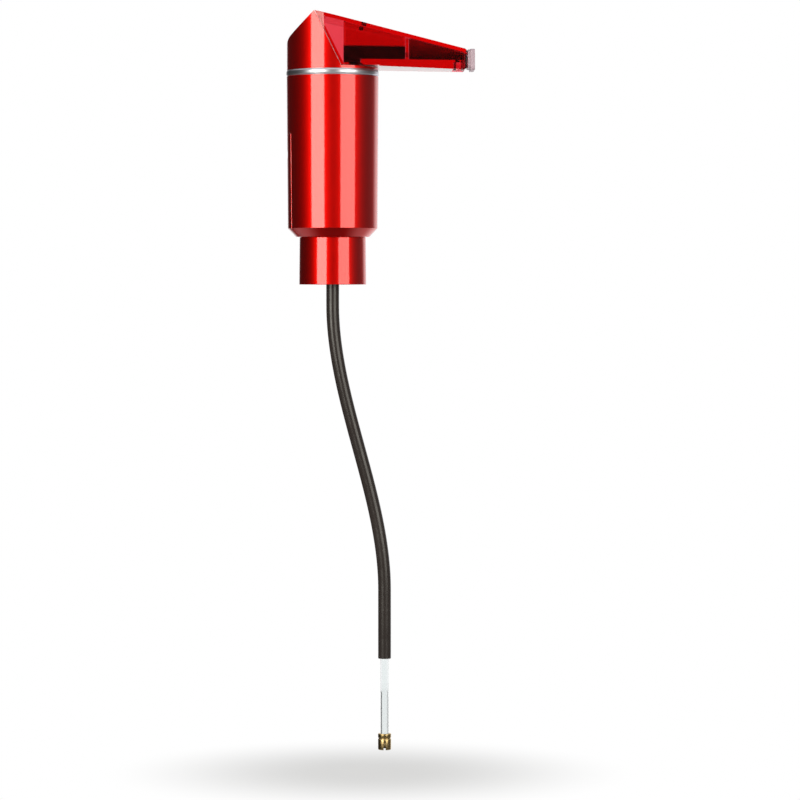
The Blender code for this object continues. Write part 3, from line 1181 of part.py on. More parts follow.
def make_flow_channels():
    floor = PLATE_TOP + BASE_TOP + GAP
    well = SPOUT_BOTTOM + BASE_THIN + GAP
    step = BASE_START_X - GAP
    end = BAFFLE_X - BAFFLE_THICKNESS / 2 - GAP
    wall = CHANNEL_WALL
    back = rear_x(well)
    under_roof = SPOUT_ROOF + CHANNEL_ROOF_GAP
    outer = [(back, well), (step, well), (step, floor), (end, floor), (end, roof_z(end) - under_roof),
             (back, roof_z(back) - under_roof)]
    inner = [(back + wall, well + wall), (step - wall, well + wall), (step - wall, floor + wall),
             (end - wall, floor + wall), (end - wall, roof_z(end)), (back + wall, roof_z(back))]
    inlet = channel("flow_channel_inlet", outer, inner)
    hole = rod("channel_inlet_hole", RISER_RADIUS + SLIDE_GAP, well - OVERRUN, well + wall + OVERRUN,
               (RISER_X, 0), SMALL)
    combine(inlet, hole)
    start = BAFFLE_X + BAFFLE_THICKNESS / 2 + GAP
    nose = SPOUT_REACH - SPOUT_WALL - GAP
    roof = SPOUT_ROOF + SPOUT_NOSE_FILLET / 2
    outer = [(start, floor), (nose, floor), (nose, roof_z(nose) - roof - GAP), (start, roof_z(start) - roof)]
    inner = [(start + wall, floor + wall), (nose - wall, floor + wall), (nose - wall, roof_z(nose)),
             (start + wall, roof_z(start))]
    outlet = channel("flow_channel_outlet", outer, inner)
    hole = rod("channel_outlet_hole", NOZZLE_BORE, floor - OVERRUN, floor + wall + OVERRUN,
               (NOZZLE_X, 0), SMALL)
    combine(outlet, hole)
    return inlet, outlet


def make_aeration_baffle():
    floor = PLATE_TOP + BASE_TOP + GAP
    half = BAFFLE_THICKNESS / 2
    top = PLATE_TOP + BAFFLE_TOP
    sides = [(BAFFLE_X - half, floor), (BAFFLE_X + half, floor), (BAFFLE_X + half, top),
             (BAFFLE_X - half, top)]
    baffle = inside_spout("aeration_baffle", sides)
    height = floor + CHANNEL_WALL + BAFFLE_HOLE * 2
    pitch = BAFFLE_HOLE * 4
    for i in range(BAFFLE_HOLES):
        y = (i - (BAFFLE_HOLES - 1) / 2) * pitch
        outline = arc((y, height), BAFFLE_HOLE, 0, 2 * pi - 2 * pi / TINY, TINY - 1)
        hole = prism(f"baffle_hole_{i}", outline, BAFFLE_X - BAFFLE_THICKNESS, BAFFLE_X + BAFFLE_THICKNESS,
                     "X")
        combine(baffle, hole)
    return baffle


def make_air_inlet_grommet():
    top = roof_z(GROMMET_X + GROMMET_RADIUS)
    return pipe("air_inlet_grommet", GROMMET_RADIUS, GROMMET_BORE, top - SPOUT_ROOF - GROMMET_HANG, top,
                (GROMMET_X, 0), SMALL)


def make_nozzle():
    top = PLATE_TOP + BASE_TOP
    low = tip_low_z(NOZZLE_X)
    shoulder = top - BASE_THIN - GAP
    profile = [(NOZZLE_BORE, low), (NOZZLE_RADIUS, low), (NOZZLE_RADIUS, shoulder),
               (NOZZLE_SPIGOT, shoulder), (NOZZLE_SPIGOT, top), (NOZZLE_BORE, top)]
    return turned("nozzle", profile, MEDIUM, (NOZZLE_X, 0))


def rounded_rectangle(half_width, low, high, corner):
    """(y, z) points of a rectangle with round corners."""
    points = []
    centres = [(half_width, high), (-half_width, high), (-half_width, low), (half_width, low)]
    for i, (y, z) in enumerate(centres):
        inward = (y - corner if y > 0 else y + corner, z - corner if z == high else z + corner)
        points += arc(inward, corner, pi / 2 * i, pi / 2 * (i + 1), TINY // 2)
    return points


def make_spout_end_cap():
    start = SPOUT_REACH + GAP
    step = start + END_CAP_NECK
    low, high = PLATE_TOP + END_CAP_BOTTOM, PLATE_TOP + END_CAP_TOP
    plate = rounded_rectangle(END_CAP_HALF_WIDTH, low, high, END_CAP_CORNER)
    cap = prism("spout_end_cap", plate, step, step + END_CAP_THICKNESS, "X")
    neck = rounded_rectangle(END_CAP_HALF_WIDTH - END_CAP_STEP, low + END_CAP_STEP, high - GAP,
                             END_CAP_CORNER)
    return combine(cap, prism("end_cap_neck", neck, start, step + GAP, "X"), "UNION")


# Leads

# Places chosen by hand, from the motor's axis, the holder's lead holes or the button's middle
LEAD_ROUTES = {
    "motor_lead_red": [("motor", 0.0097, -0.0030, 0.0058), ("motor", 0.0109, -0.0034, 0.0064),
                       ("motor", 0.0111, -0.0064, 0.0112), ("motor", 0.0103, -0.0100, 0.0192),
                       ("motor", 0.0075, -0.0104, 0.0312), ("button", 0.0108, -0.0100, -0.0202),
                       ("button", 0.0068, -0.0092, -0.0142), ("button", 0.00425, -0.0084, -0.0103)],
    "motor_lead_black": [("motor", 0.0097, 0.0030, 0.0058), ("motor", 0.0117, 0.0026, 0.0064),
                         ("motor", 0.0135, 0.0004, 0.0112), ("motor", 0.0145, -0.0050, 0.0182),
                         ("motor", 0.0131, -0.0110, 0.0272), ("button", 0.0128, -0.0122, -0.0202),
                         ("button", 0.0080, -0.0074, -0.0142), ("button", 0.00425, -0.0062, -0.0103)],
    "battery_lead_red": [("holder", 0, -0.0075, -0.0030), ("holder", 0, -0.0075, 0.0032),
                         ("motor", 0.0121, -0.0124, 0.0132), ("motor", 0.0131, -0.0150, 0.0252),
                         ("button", 0.0128, -0.0150, -0.0202), ("button", 0.0068, -0.0118, -0.0138),
                         ("button", 0.00425, -0.0105, -0.0103)],
    "battery_lead_black": [("holder", 0, -0.0045, -0.0030), ("holder", 0, -0.0045, 0.0018),
                           ("motor", 0.0137, -0.0056, 0.0072), ("motor", 0.0157, -0.0100, 0.0172),
                           ("motor", 0.0161, -0.0138, 0.0272), ("button", 0.0162, -0.0138, -0.0202),
                           ("button", 0.0092, -0.0050, -0.0142), ("button", 0.00425, -0.0040, -0.0103)],
}


def make_leads():
    starts = {"motor": Vector((MOTOR_X, 0, TRAY_TOP)), "holder": Vector((LEAD_HOLE_X, 0, TRAY_TOP)),
              "button": BUTTON_PLACE}
    for name, route in LEAD_ROUTES.items():
        points = [starts[start] + Vector((x, y, z)) for start, x, y, z in route]
        cord(name, smooth_route(points, LEAD_STEPS), LEAD_RADIUS)


# Materials: colour, metallic, roughness, alpha

METAL_RED = ((0.42, 0.01, 0.01), 0.9, 0.18, 1)
CLEAR_RED = ((0.75, 0.01, 0.01), 0, 0.08, 0.55)
CHROME = ((0.85, 0.85, 0.87), 1, 0.08, 1)
STEEL = ((0.6, 0.6, 0.62), 1, 0.35, 1)
BLACK_PLASTIC = ((0.02, 0.02, 0.022), 0, 0.45, 1)
BLACK_RUBBER = ((0.015, 0.015, 0.015), 0, 0.8, 1)
SMOKED = ((0.03, 0.01, 0.01), 0, 0.15, 0.8)
FROSTED = ((0.72, 0.58, 0.63), 0, 0.4, 0.7)
WHITE_PLASTIC = ((0.7, 0.7, 0.68), 0, 0.5, 1)
CLEAR_TUBE = ((0.75, 0.78, 0.78), 0, 0.15, 0.6)
BOARD_GREEN = ((0.02, 0.15, 0.05), 0, 0.4, 1)
CELL_SLEEVE = ((0.05, 0.05, 0.06), 0, 0.3, 1)
RED_WIRE = ((0.5, 0.02, 0.02), 0, 0.5, 1)
BRASS = ((0.6, 0.45, 0.2), 1, 0.35, 1)

FINISHES = {
    METAL_RED: ["body_shell", "neck_collar", "head_shell", "battery_door"],
    CLEAR_RED: ["spout_shell", "spout_base", "aeration_baffle", "nozzle"],
    CHROME: ["chrome_ring", "button_bezel"],
    STEEL: ["collar_screw_1", "collar_screw_2", "tray_screw_1", "tray_screw_2", "board_screw_1",
            "board_screw_2", "pump_motor", "motor_shaft", "contact_lower_back", "contact_lower_front",
            "contact_bridge", "contact_positive", "contact_negative"],
    BLACK_PLASTIC: ["button_cap", "switch_body", "battery_holder", "pump_tray", "dip_tube_outer"],
    BLACK_RUBBER: ["lip_gasket", "stopper_plug", "inlet_seal", "air_inlet_grommet", "pump_diaphragm",
                   "motor_lead_black", "battery_lead_black"],
    SMOKED: ["flow_channel_inlet", "flow_channel_outlet"],
    FROSTED: ["spout_end_cap"],
    WHITE_PLASTIC: ["fluid_manifold", "pump_housing", "pump_valve_cover", "pump_yoke",
                    "air_check_valve", "switch_plunger", "tube_stem"],
    CLEAR_TUBE: ["wine_riser", "air_hose_lower", "air_hose_upper", "dip_tube_inner"],
    BOARD_GREEN: ["switch_board"],
    CELL_SLEEVE: ["battery_1", "battery_2", "battery_3", "battery_4"],
    RED_WIRE: ["motor_lead_red", "battery_lead_red"],
    BRASS: ["pump_eccentric", "air_vent_tube", "tube_foot"],
}


def add_materials():
    for (colour, metallic, roughness, alpha), names in FINISHES.items():
        for name in names:
            material = bpy.data.materials.new(name)
            material.use_nodes = True
            shader = material.node_tree.nodes["Principled BSDF"]
            shader.inputs["Base Color"].default_value = (*colour, 1)
            shader.inputs["Metallic"].default_value = metallic
            shader.inputs["Roughness"].default_value = roughness
            shader.inputs["Alpha"].default_value = alpha
            bpy.data.objects[name].data.materials.append(material)


def main():
    for thing in list(bpy.data.objects):
        bpy.data.objects.remove(thing)
    make_neck_collar()
    make_collar_screws()
    make_lip_gasket()
    make_stopper_plug()
    make_tube_stem()
    make_air_vent_tube()
    make_dip_tube_outer()
    carry([make_dip_tube_inner(), make_tube_foot()], (DIP_LEAN, 0, -DIP_OUTER_END), "dip_tube_axis")
    make_body_shell()
    make_battery_door()
    make_battery_holder()
    make_cells()
    make_contacts()
    make_fluid_manifold()
    make_wine_riser()
    make_air_hoses()
    make_air_check_valve()
    make_pump_tray()
    make_tray_screws()
    make_pump_motor()
    make_rotor()
    make_pump_housing()
    make_pump_carriage()
    make_pump_valve_cover()
    make_chrome_ring()
    head = make_head_shell()
    frame = make_button_frame()
    add_button_seat(head, frame)
    make_button(frame)
    make_switch(frame)
    spout = [make_spout_shell(), make_spout_base(), make_inlet_seal(), *make_flow_channels(),
             make_aeration_baffle(), make_air_inlet_grommet(), make_nozzle(), make_spout_end_cap()]
    carry(spout, (RISER_X, 0, SPOUT_BOTTOM), "spout_axis")
    make_leads()
    add_materials()


main()
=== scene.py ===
# %% [markdown]
# # Electric wine aerator
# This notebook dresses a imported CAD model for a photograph-like render. The CAD says where every piece sits
# and what moves it. Here each piece gets its fine shape, such as rounded edges, and a finish made of shader
# nodes. Lengths in the code are millimetres, because that is how the object was measured. Blender gets
# metres.

# %% Load the model and keep its size
from math import acos, atan2, cos, hypot, pi, radians, sin, sqrt, tan

import bmesh
import bpy
from mathutils import Matrix, Vector


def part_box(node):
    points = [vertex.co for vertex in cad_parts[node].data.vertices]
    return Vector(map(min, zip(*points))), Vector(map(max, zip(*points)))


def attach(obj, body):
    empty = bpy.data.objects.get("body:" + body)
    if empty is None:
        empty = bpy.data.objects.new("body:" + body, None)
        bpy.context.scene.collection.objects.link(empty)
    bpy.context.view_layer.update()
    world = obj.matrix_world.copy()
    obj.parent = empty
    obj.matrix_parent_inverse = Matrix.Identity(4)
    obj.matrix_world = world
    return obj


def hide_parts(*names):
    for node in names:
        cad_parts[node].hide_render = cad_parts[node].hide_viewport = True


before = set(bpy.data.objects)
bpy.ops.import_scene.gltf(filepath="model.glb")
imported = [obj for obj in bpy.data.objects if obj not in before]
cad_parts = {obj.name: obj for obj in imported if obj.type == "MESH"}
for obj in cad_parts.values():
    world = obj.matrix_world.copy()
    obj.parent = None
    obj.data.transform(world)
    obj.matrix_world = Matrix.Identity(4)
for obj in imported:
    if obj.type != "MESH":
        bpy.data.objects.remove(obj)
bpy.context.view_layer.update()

MM = 0.001

# %% [markdown]
# ## The camera
# The photograph was taken from the side, almost level with the collar, and from far away, so upright lines
# stay upright and circles are thin ellipses. A long lens at 1.9 metres gives that look. The place and the
# small turns come from matching measured points of the object with their pixels, so the view needs no lens
# shift.

# %% Set up the camera
def placed(name, data):
    """A new object in the scene, which shows a camera, a lamp, a curve or a mesh."""
    thing = bpy.data.objects.new(name, data)
    bpy.context.scene.collection.objects.link(thing)
    return thing


camera = placed("camera", bpy.data.cameras.new("camera"))
camera.location = (0.000932, -1.914406, -0.029450)
LOOK_RIGHT, LOOK_DOWN = 0.01885, 0.03022
camera.rotation_euler = (pi / 2 - LOOK_DOWN, 0, -LOOK_RIGHT)
camera.data.lens = 156.52
camera.data.sensor_width = 36
bpy.context.scene.camera = camera
bpy.context.scene.view_settings.view_transform = "Standard"
print("camera", round(camera.location.length, 2), "m from the gasket")

# %% [markdown]
# ## The studio
# A round, glossy object is lit by what it mirrors. The two pale stripes on the body are two tall softboxes,
# one a little left of the camera and a weaker one to its right. The red between them is the wide glow of the
# metal paint. The studio is dark at the sides, and that is why both edges of the body fall off to deep red.
# So the softboxes are area lamps, and the world is white for the camera and for clear plastic, and shaded
# round the horizon for mirrors.

# %% Hang the softboxes
def softbox(name, azimuth, width, low, high, radiance, distance=1.8):
    """An upright area lamp that faces the axis. Azimuth is in degrees from -Y towards +X."""
    lamp = bpy.data.lights.new(name, "AREA")
    lamp.shape = "RECTANGLE"
    lamp.size = 2 * distance * tan(radians(width) / 2)
    lamp.size_y = high - low
    lamp.energy = radiance * pi * lamp.size * lamp.size_y
    lamp.color = (1.0, 0.98, 0.88)
    box = placed(name, lamp)
    turn = radians(azimuth)
    box.location = (distance * sin(turn), -distance * cos(turn), (low + high) / 2)
    box.rotation_euler = (pi / 2, 0, turn)
    box.visible_camera = box.visible_transmission = False
    return box


softbox("softbox_left", -38, 34, -0.26, 0.60, 4.9)
right_box = softbox("softbox_right", 39, 38, -0.26, 0.60, 3.0)


# %% Paint the world
def node(tree, kind, links=(), **values):
    """Adds a shader node, sets its values, and joins its inputs to other nodes' outputs."""
    made = tree.nodes.new("ShaderNode" + kind)
    for key, value in values.items():
        setattr(made, key, value)
    for name, source in dict(links).items():
        if hasattr(source, "links"):
            tree.links.new(source, made.inputs[name])
        else:
            made.inputs[name].default_value = source
    return made


def mix(tree, share, first, second):
    """A colour between two others, each given as a value or as a node's output."""
    return node(tree, "Mix", {"Factor": share, 6: first, 7: second}, data_type="RGBA").outputs[2]


def compute(tree, how, first, second):
    """The output of a math node."""
    return node(tree, "Math", {0: first, 1: second}, operation=how).outputs[0]


world = bpy.data.worlds.new("studio")
bpy.context.scene.world = world
world.use_nodes = True
tree = world.node_tree
tree.nodes.clear()
facing = node(tree, "TexCoord").outputs["Generated"]
parts = node(tree, "SeparateXYZ", {"Vector": facing})
azimuth = compute(tree, "ARCTAN2", parts.outputs["X"], parts.outputs["Y"])
share = node(tree, "MapRange", {"Value": azimuth, "From Min": -pi, "From Max": pi})
walls = node(tree, "ValToRGB", {"Fac": share.outputs[0]})
# From the camera's side round by -X to the far side and back by +X: (share of the turn, grey)
SHADES = [(0.0, 0.03), (0.20, 0.015), (0.435, 0.015), (0.46, 1.0), (0.61, 1.0), (0.65, 0.085),
          (0.80, 0.085), (0.92, 0.03)]
ramp = walls.color_ramp.elements
ramp.remove(ramp[1])
for place, grey in SHADES:
    stop = ramp.new(place) if place else ramp[0]
    stop.position = place
    stop.color = (grey, grey, grey, 1)
# The table, the ground below it and the ceiling: (height where it starts, height where it is full, grey)
LEVELS = [(-0.40, -0.62, 0.40), (-0.80, -0.95, 0.03), (0.35, 0.75, 0.8)]
shade = walls.outputs[0]
for start, full, grey in LEVELS:
    height = node(tree, "MapRange", {"Value": parts.outputs["Z"], "From Min": start, "From Max": full})
    shade = mix(tree, height.outputs[0], shade, (grey, grey, grey, 1))
ray = node(tree, "LightPath")
mirror = node(tree, "Background", {"Color": shade, "Strength": 1.0})
white = node(tree, "Background", {"Color": (1, 1, 1, 1), "Strength": 1.0})
soft = node(tree, "Background", {"Color": (1, 1, 1, 1), "Strength": 0.42})
# Light that came straight through the plastic shows the white backdrop. Light that was also mirrored on its
# way, at an inner face, shows the shaded studio instead.
straight = compute(tree, "LESS_THAN", ray.outputs["Glossy Depth"], 0.5)
through = compute(tree, "MULTIPLY", ray.outputs["Is Transmission Ray"], straight)
seen = compute(tree, "MAXIMUM", ray.outputs["Is Camera Ray"], through)
shiny = compute(tree, "MAXIMUM", ray.outputs["Is Glossy Ray"], ray.outputs["Is Transmission Ray"])
lit = node(tree, "MixShader", {0: shiny, 1: soft.outputs[0], 2: mirror.outputs[0]})
both = node(tree, "MixShader", {0: seen, 1: lit.outputs[0], 2: white.outputs[0]})
node(tree, "OutputWorld", {"Surface": both.outputs[0]})
print("world shades:", len(ramp))

# %% [markdown]
# ## Tools for shapes
# Real edges are never perfectly sharp, and an edge shows only because it catches light. So turned pieces get
# their corners rounded in the profile before it is spun. Pieces that are cut from blocks get a narrow bevel
# after the cuts, with weighted normals, which keep the flat faces flat and let only the bevel curve. Cuts
# also leave long thin faces on a round wall, whose mixed normals would bend the mirrored softboxes, so the
# walls get a true round's.

# %% Mesh helpers
def smoothed(name, mesh, sharp):
    """A piece whose mesh is smooth but for its sharp edges."""
    mesh.shade_smooth()
    mesh.set_sharp_from_angle(angle=radians(sharp))
    return placed(name, mesh)


def into_scene(name, bm, sharp=38):
    """Turns a bmesh in millimetres into an object in metres, faces out, smooth but for its sharp edges."""
    bmesh.ops.recalc_face_normals(bm, faces=bm.faces)
    mesh = bpy.data.meshes.new(name)
    bm.to_mesh(mesh)
    bm.free()
    mesh.transform(Matrix.Scale(MM, 4))
    return smoothed(name, mesh, sharp)


def band(bm, low, high):
    """Joins two rings, with as many corners each, by a band of faces."""
    for k in range(len(low)):
        n = (k + 1) % len(low)
        bm.faces.new([low[k], low[n], high[n], high[k]])


def soften(profile, size, steps=3, closed=True):
    """Rounds the corners of an outline. Gentle bends, such as those of a fillet, stay as they are."""
    rounded = []
    for i, corner in enumerate(profile):
        here = Vector(corner)
        back = Vector(profile[i - 1]) - here
        ahead = Vector(profile[(i + 1) % len(profile)]) - here
        at_end = not closed and i in (0, len(profile) - 1)
        if at_end or abs(back.angle(ahead) - pi) < radians(14):
            rounded.append(tuple(corner))
            continue
        reach = min(size, back.length * 0.45, ahead.length * 0.45)
        start, end = here + back.normalized() * reach, here + ahead.normalized() * reach
        for k in range(steps + 1):
            t = k / steps
            rounded.append(tuple(start * (1 - t) ** 2 + here * 2 * t * (1 - t) + end * t ** 2))
    return rounded


def turned(name, profile, steps=128, place=(0, 0), closed=True):
    """Spins (radius, height) points round an upright axis. An open profile starts and ends on the axis."""
    bm = bmesh.new()
    rings = []
    for r, z in profile:
        turns = [2 * pi * k / steps for k in range(steps if r > 1e-6 else 1)]
        rings.append([bm.verts.new((place[0] + r * cos(t), place[1] + r * sin(t), z)) for t in turns])
    for one, other in zip(rings, rings[1:] + (rings[:1] if closed else [])):
        if len(one) == len(other):
            band(bm, one, other)
            continue
        for k in range(steps):
            n = (k + 1) % steps
            bm.faces.new([one[0], other[k], other[n]] if len(one) == 1 else [one[k], one[n], other[0]])
    return into_scene(name, bm)


def rod(name, radius, low, high, steps=32, place=(0, 0)):
    """A solid round bar, mostly used to cut a hole."""
    return turned(name, [(0, low), (radius, low), (radius, high), (0, high)], steps, place, False)


def plate(name, outline, low, high, along="Z"):
    """Gives an outline a thickness along Z, along Y from (x, z) points, or along X from (y, z) points."""
    turn = {"Z": lambda a, b, c: (a, b, c),
            "Y": lambda a, b, c: (a, c, b),
            "X": lambda a, b, c: (c, a, b)}[along]
    bm = bmesh.new()
    floor = [bm.verts.new(turn(a, b, low)) for a, b in outline]
    roof = [bm.verts.new(turn(a, b, high)) for a, b in outline]
    bm.faces.new(floor)
    bm.faces.new(roof)
    band(bm, floor, roof)
    return into_scene(name, bm)


WIDE = 28   # further out than any of the round walls


def from_side(name, outline):
    """A wide solid from an outline of (x, z) points, mostly used to cut another to that outline."""
    return plate(name, outline, -WIDE, WIDE, "Y")


def block(name, x, y, z):
    """A box between two values on each axis."""
    return plate(name, [(x[0], y[0]), (x[1], y[0]), (x[1], y[1]), (x[0], y[1])], *z)


def arc(centre, radius, start, end, steps):
    """Points on an arc, its ends included."""
    angles = [start + (end - start) * i / steps for i in range(steps + 1)]
    return [(centre[0] + radius * cos(a), centre[1] + radius * sin(a)) for a in angles]


def shown_mesh(thing):
    """A new mesh of what an object shows, with its modifiers or its bevel worked out."""
    bpy.context.view_layer.update()
    return bpy.data.meshes.new_from_object(thing.evaluated_get(bpy.context.evaluated_depsgraph_get()))


def settle(piece):
    """Makes what the modifiers show the piece's own mesh."""
    mesh = shown_mesh(piece)
    piece.modifiers.clear()
    piece.data = mesh
    return piece


def carve(piece, *tools, how="DIFFERENCE"):
    """Cuts, joins or intersects a piece with tools, which are used up."""
    for tool in tools:
        step = piece.modifiers.new("carve", "BOOLEAN")
        step.operation, step.solver, step.object = how, "EXACT", tool
    settle(piece)
    for tool in tools:
        bpy.data.objects.remove(tool)
    return piece


def flat_faces(piece):
    """Weights the normals, so that only the narrow bevels bend the reflections and not the long walls."""
    shade = piece.modifiers.new("flat faces", "WEIGHTED_NORMAL")
    shade.keep_sharp = False
    return piece


def true_round(piece, *spans):
    """Gives round walls a true round's normals. A span is (low z, its radius, high z, its radius)."""
    settle(piece)
    mesh = piece.data
    normals = [Vector(corner.vector) for corner in mesh.corner_normals]
    for face in mesh.polygons:
        for corner, vertex in zip(face.loop_indices, face.vertices):
            x, y, z = mesh.vertices[vertex].co / MM
            r = hypot(x, y)
            for low, low_r, high, high_r in spans:
                slope = (high_r - low_r) / (high - low)
                if low - 0.01 < z < high + 0.01 and abs(low_r + slope * (z - low) - r) < 0.03:
                    exact = Vector((x / r, y / r, -slope)).normalized()
                    on_wall = face.normal.angle(exact, pi) < radians(4)
                    if on_wall or normals[corner].angle(exact, pi) < radians(25):
                        normals[corner] = exact
    mesh.normals_split_custom_set(normals)
    return piece


def ease(piece, width=0.25, steps=2, angle=28):
    """Bevels the sharp edges and weights the normals, so that flat faces stay flat."""
    step = piece.modifiers.new("ease", "BEVEL")
    step.width, step.segments, step.limit_method = width * MM, steps, "ANGLE"
    step.angle_limit = radians(angle)
    step.miter_outer = "MITER_ARC"
    settle(piece)
    piece.data.shade_smooth()
    return flat_faces(piece)


def mount(piece, finish, body, slot, *nodes):
    """Gives a piece its finish and its moving body, and hides the CAD nodes it stands for. The slot is not
    used.
    """
    piece.data.materials.clear()
    piece.data.materials.append(finish)
    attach(piece, body)
    if nodes:
        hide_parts(*nodes)
    return piece


# %% [markdown]
# ## Finishes
# Each finish starts from the Principled shader and adds what the real surface has: a colour that drifts a
# little, a fine grain that changes the gloss, and a slight bump. Noise in object space makes the grain, so
# it needs no unwrapping and never slides over the surface. The object is new, so nothing is worn. One
# builder makes them all.

# %% The finish builder
def finish(name, colour, other=None, metal=0.0, rough=(0.3, 0.4), grain=400, bump=0.02,
           stretch=(1, 1, 1), **sockets):
    """A node material: colour drifting to another, with gloss and bump from a fine grain."""
    material = bpy.data.materials.new(name)
    material.use_nodes = True
    tree = material.node_tree
    shader = tree.nodes["Principled BSDF"]
    shader.inputs["Metallic"].default_value = metal
    for key, value in sockets.items():
        shader.inputs[key.replace("_", " ")].default_value = value
    place = node(tree, "TexCoord").outputs["Object"]
    place = node(tree, "Mapping", {"Vector": place, "Scale": stretch}).outputs[0]
    fine = node(tree, "TexNoise", {"Vector": place, "Scale": grain, "Detail": 5.0}).outputs["Fac"]
    broad = node(tree, "TexNoise", {"Vector": place, "Scale": grain / 9, "Detail": 2.0}).outputs["Fac"]
    drift = mix(tree, broad, (*colour, 1), (*(other or colour), 1))
    tree.links.new(drift, shader.inputs["Base Color"])
    gloss = node(tree, "MapRange", {"Value": fine, "From Min": 0.3, "From Max": 0.7,
                                    "To Min": rough[0], "To Max": rough[1]})
    tree.links.new(gloss.outputs[0], shader.inputs["Roughness"])
    if bump:
        relief = node(tree, "Bump", {"Height": fine, "Strength": bump, "Distance": 0.0002})
        tree.links.new(relief.outputs[0], shader.inputs["Normal"])
    return material


RED_METAL = finish("red metal paint", (0.99, 0.004, 0.001), (0.92, 0.003, 0.001), 1.0, (0.41, 0.46), 900,
                   0.03, Coat_Weight=1.0, Coat_Roughness=0.09, Coat_IOR=1.7)
CHROME = finish("satin chrome", (0.86, 0.86, 0.93), (0.76, 0.76, 0.83), 1.0, (0.32, 0.38), 500, 0.01)
STEEL = finish("zinc plated steel", (0.62, 0.62, 0.64), (0.52, 0.52, 0.53), 1.0, (0.25, 0.42), 600, 0.05)
BLACK = finish("black moulded plastic", (0.020, 0.020, 0.022), (0.028, 0.027, 0.028), 0.0, (0.38, 0.52),
               1400, 0.08)
TUBE_BLACK = finish("smoke grey tube", (0.030, 0.024, 0.022), (0.05, 0.04, 0.036), 0.0, (0.16, 0.28),
                    260, 0.03)
RED_SILICONE = finish("deep red silicone", (0.26, 0.008, 0.008), (0.22, 0.006, 0.006), 0.0, (0.45, 0.6),
                      1500, 0.05)
RUBBER = finish("black rubber", (0.014, 0.014, 0.014), (0.022, 0.021, 0.021), 0.0, (0.68, 0.85), 1800, 0.12)
WHITE = finish("white nylon", (0.70, 0.70, 0.67), (0.64, 0.64, 0.61), 0.0, (0.40, 0.52), 900, 0.06)
TUBING = finish("clear hose", (0.93, 0.95, 0.95), (0.90, 0.93, 0.93), 0.0, (0.03, 0.07), 90, 0,
                Transmission_Weight=1.0, IOR=1.42)
BOARD = finish("green circuit board", (0.015, 0.13, 0.045), (0.02, 0.17, 0.06), 0.0, (0.3, 0.45), 1200, 0.05)
SLEEVE = finish("cell sleeve", (0.045, 0.048, 0.06), (0.07, 0.072, 0.085), 0.3, (0.2, 0.34), 500, 0.02)
BAND = finish("copper band of a cell", (0.60, 0.25, 0.09), (0.54, 0.21, 0.07), 0.7, (0.24, 0.34), 500, 0.02)
RED_WIRE = finish("red lead", (0.50, 0.018, 0.018), (0.42, 0.014, 0.014), 0.0, (0.42, 0.55), 900, 0.05)
BRASS = finish("turned brass", (0.72, 0.53, 0.25), (0.66, 0.47, 0.21), 1.0, (0.24, 0.32), 300, 0.03,
               stretch=(1, 1, 12))
FROSTED = finish("frosted clear plastic", (0.78, 0.60, 0.67), (0.70, 0.53, 0.60), 0.0, (0.30, 0.42), 1200,
                 0.1, Transmission_Weight=0.35, IOR=1.46)
print("finishes:", len(bpy.data.materials))


# %% Clear red plastic
def clear_red(name, rough=(0.02, 0.05), haze=0.01):
    """Clear plastic whose colour is in its depth: thin walls are pink, and thick bars are strong red."""
    material = finish(name, (1, 1, 1), (0.97, 0.96, 0.96), 0.0, rough, 300, haze,
                      Transmission_Weight=1.0, IOR=1.58)
    tree = material.node_tree
    depth = node(tree, "VolumeAbsorption", {"Color": (0.992, 0.02, 0.15, 1), "Density": 1000.0})
    tree.links.new(depth.outputs[0], tree.nodes["Material Output"].inputs["Volume"])
    return material


CLEAR_RED = clear_red("clear red plastic")


def smoked(name, low, high, dark=(0.055, 0.006, 0.005), light=(0.80, 0.05, 0.05)):
    """Plastic that is dark below a level, where it is nearly opaque, and clear red above it."""
    material = finish(name, dark, None, 0.0, (0.02, 0.06), 300, 0.01, Transmission_Weight=1.0, IOR=1.47)
    tree = material.node_tree
    shader = tree.nodes["Principled BSDF"]
    height = node(tree, "SeparateXYZ", {"Vector": node(tree, "TexCoord").outputs["Object"]}).outputs["Z"]
    level = node(tree, "MapRange", {"Value": height, "From Min": low * MM, "From Max": high * MM}).outputs[0]
    tree.links.new(mix(tree, level, (*dark, 1), (*light, 1)), shader.inputs["Base Color"])
    clear = node(tree, "MapRange", {"Value": level, "To Min": 0.12, "To Max": 1.0})
    tree.links.new(clear.outputs[0], shader.inputs["Transmission Weight"])
    return material


SMOKED_INLET = smoked("smoked inlet tray", 105.3, 106.3, (0.040, 0.011, 0.010))
SMOKED_OUTLET = smoked("smoked outlet tray", 100.0, 120.0, (0.085, 0.005, 0.003))
print("clear finishes:", CLEAR_RED.name, SMOKED_INLET.name, SMOKED_OUTLET.name)

# %% [markdown]
# ## The floor
# The floor is pale and plain. Near the object it keeps the soft shadow, and further out it runs out to the
# white of the background, as a sweep of paper does in a studio. The tube hangs above it and can be drawn out
# by 12 mm, so the floor lies just below that reach.

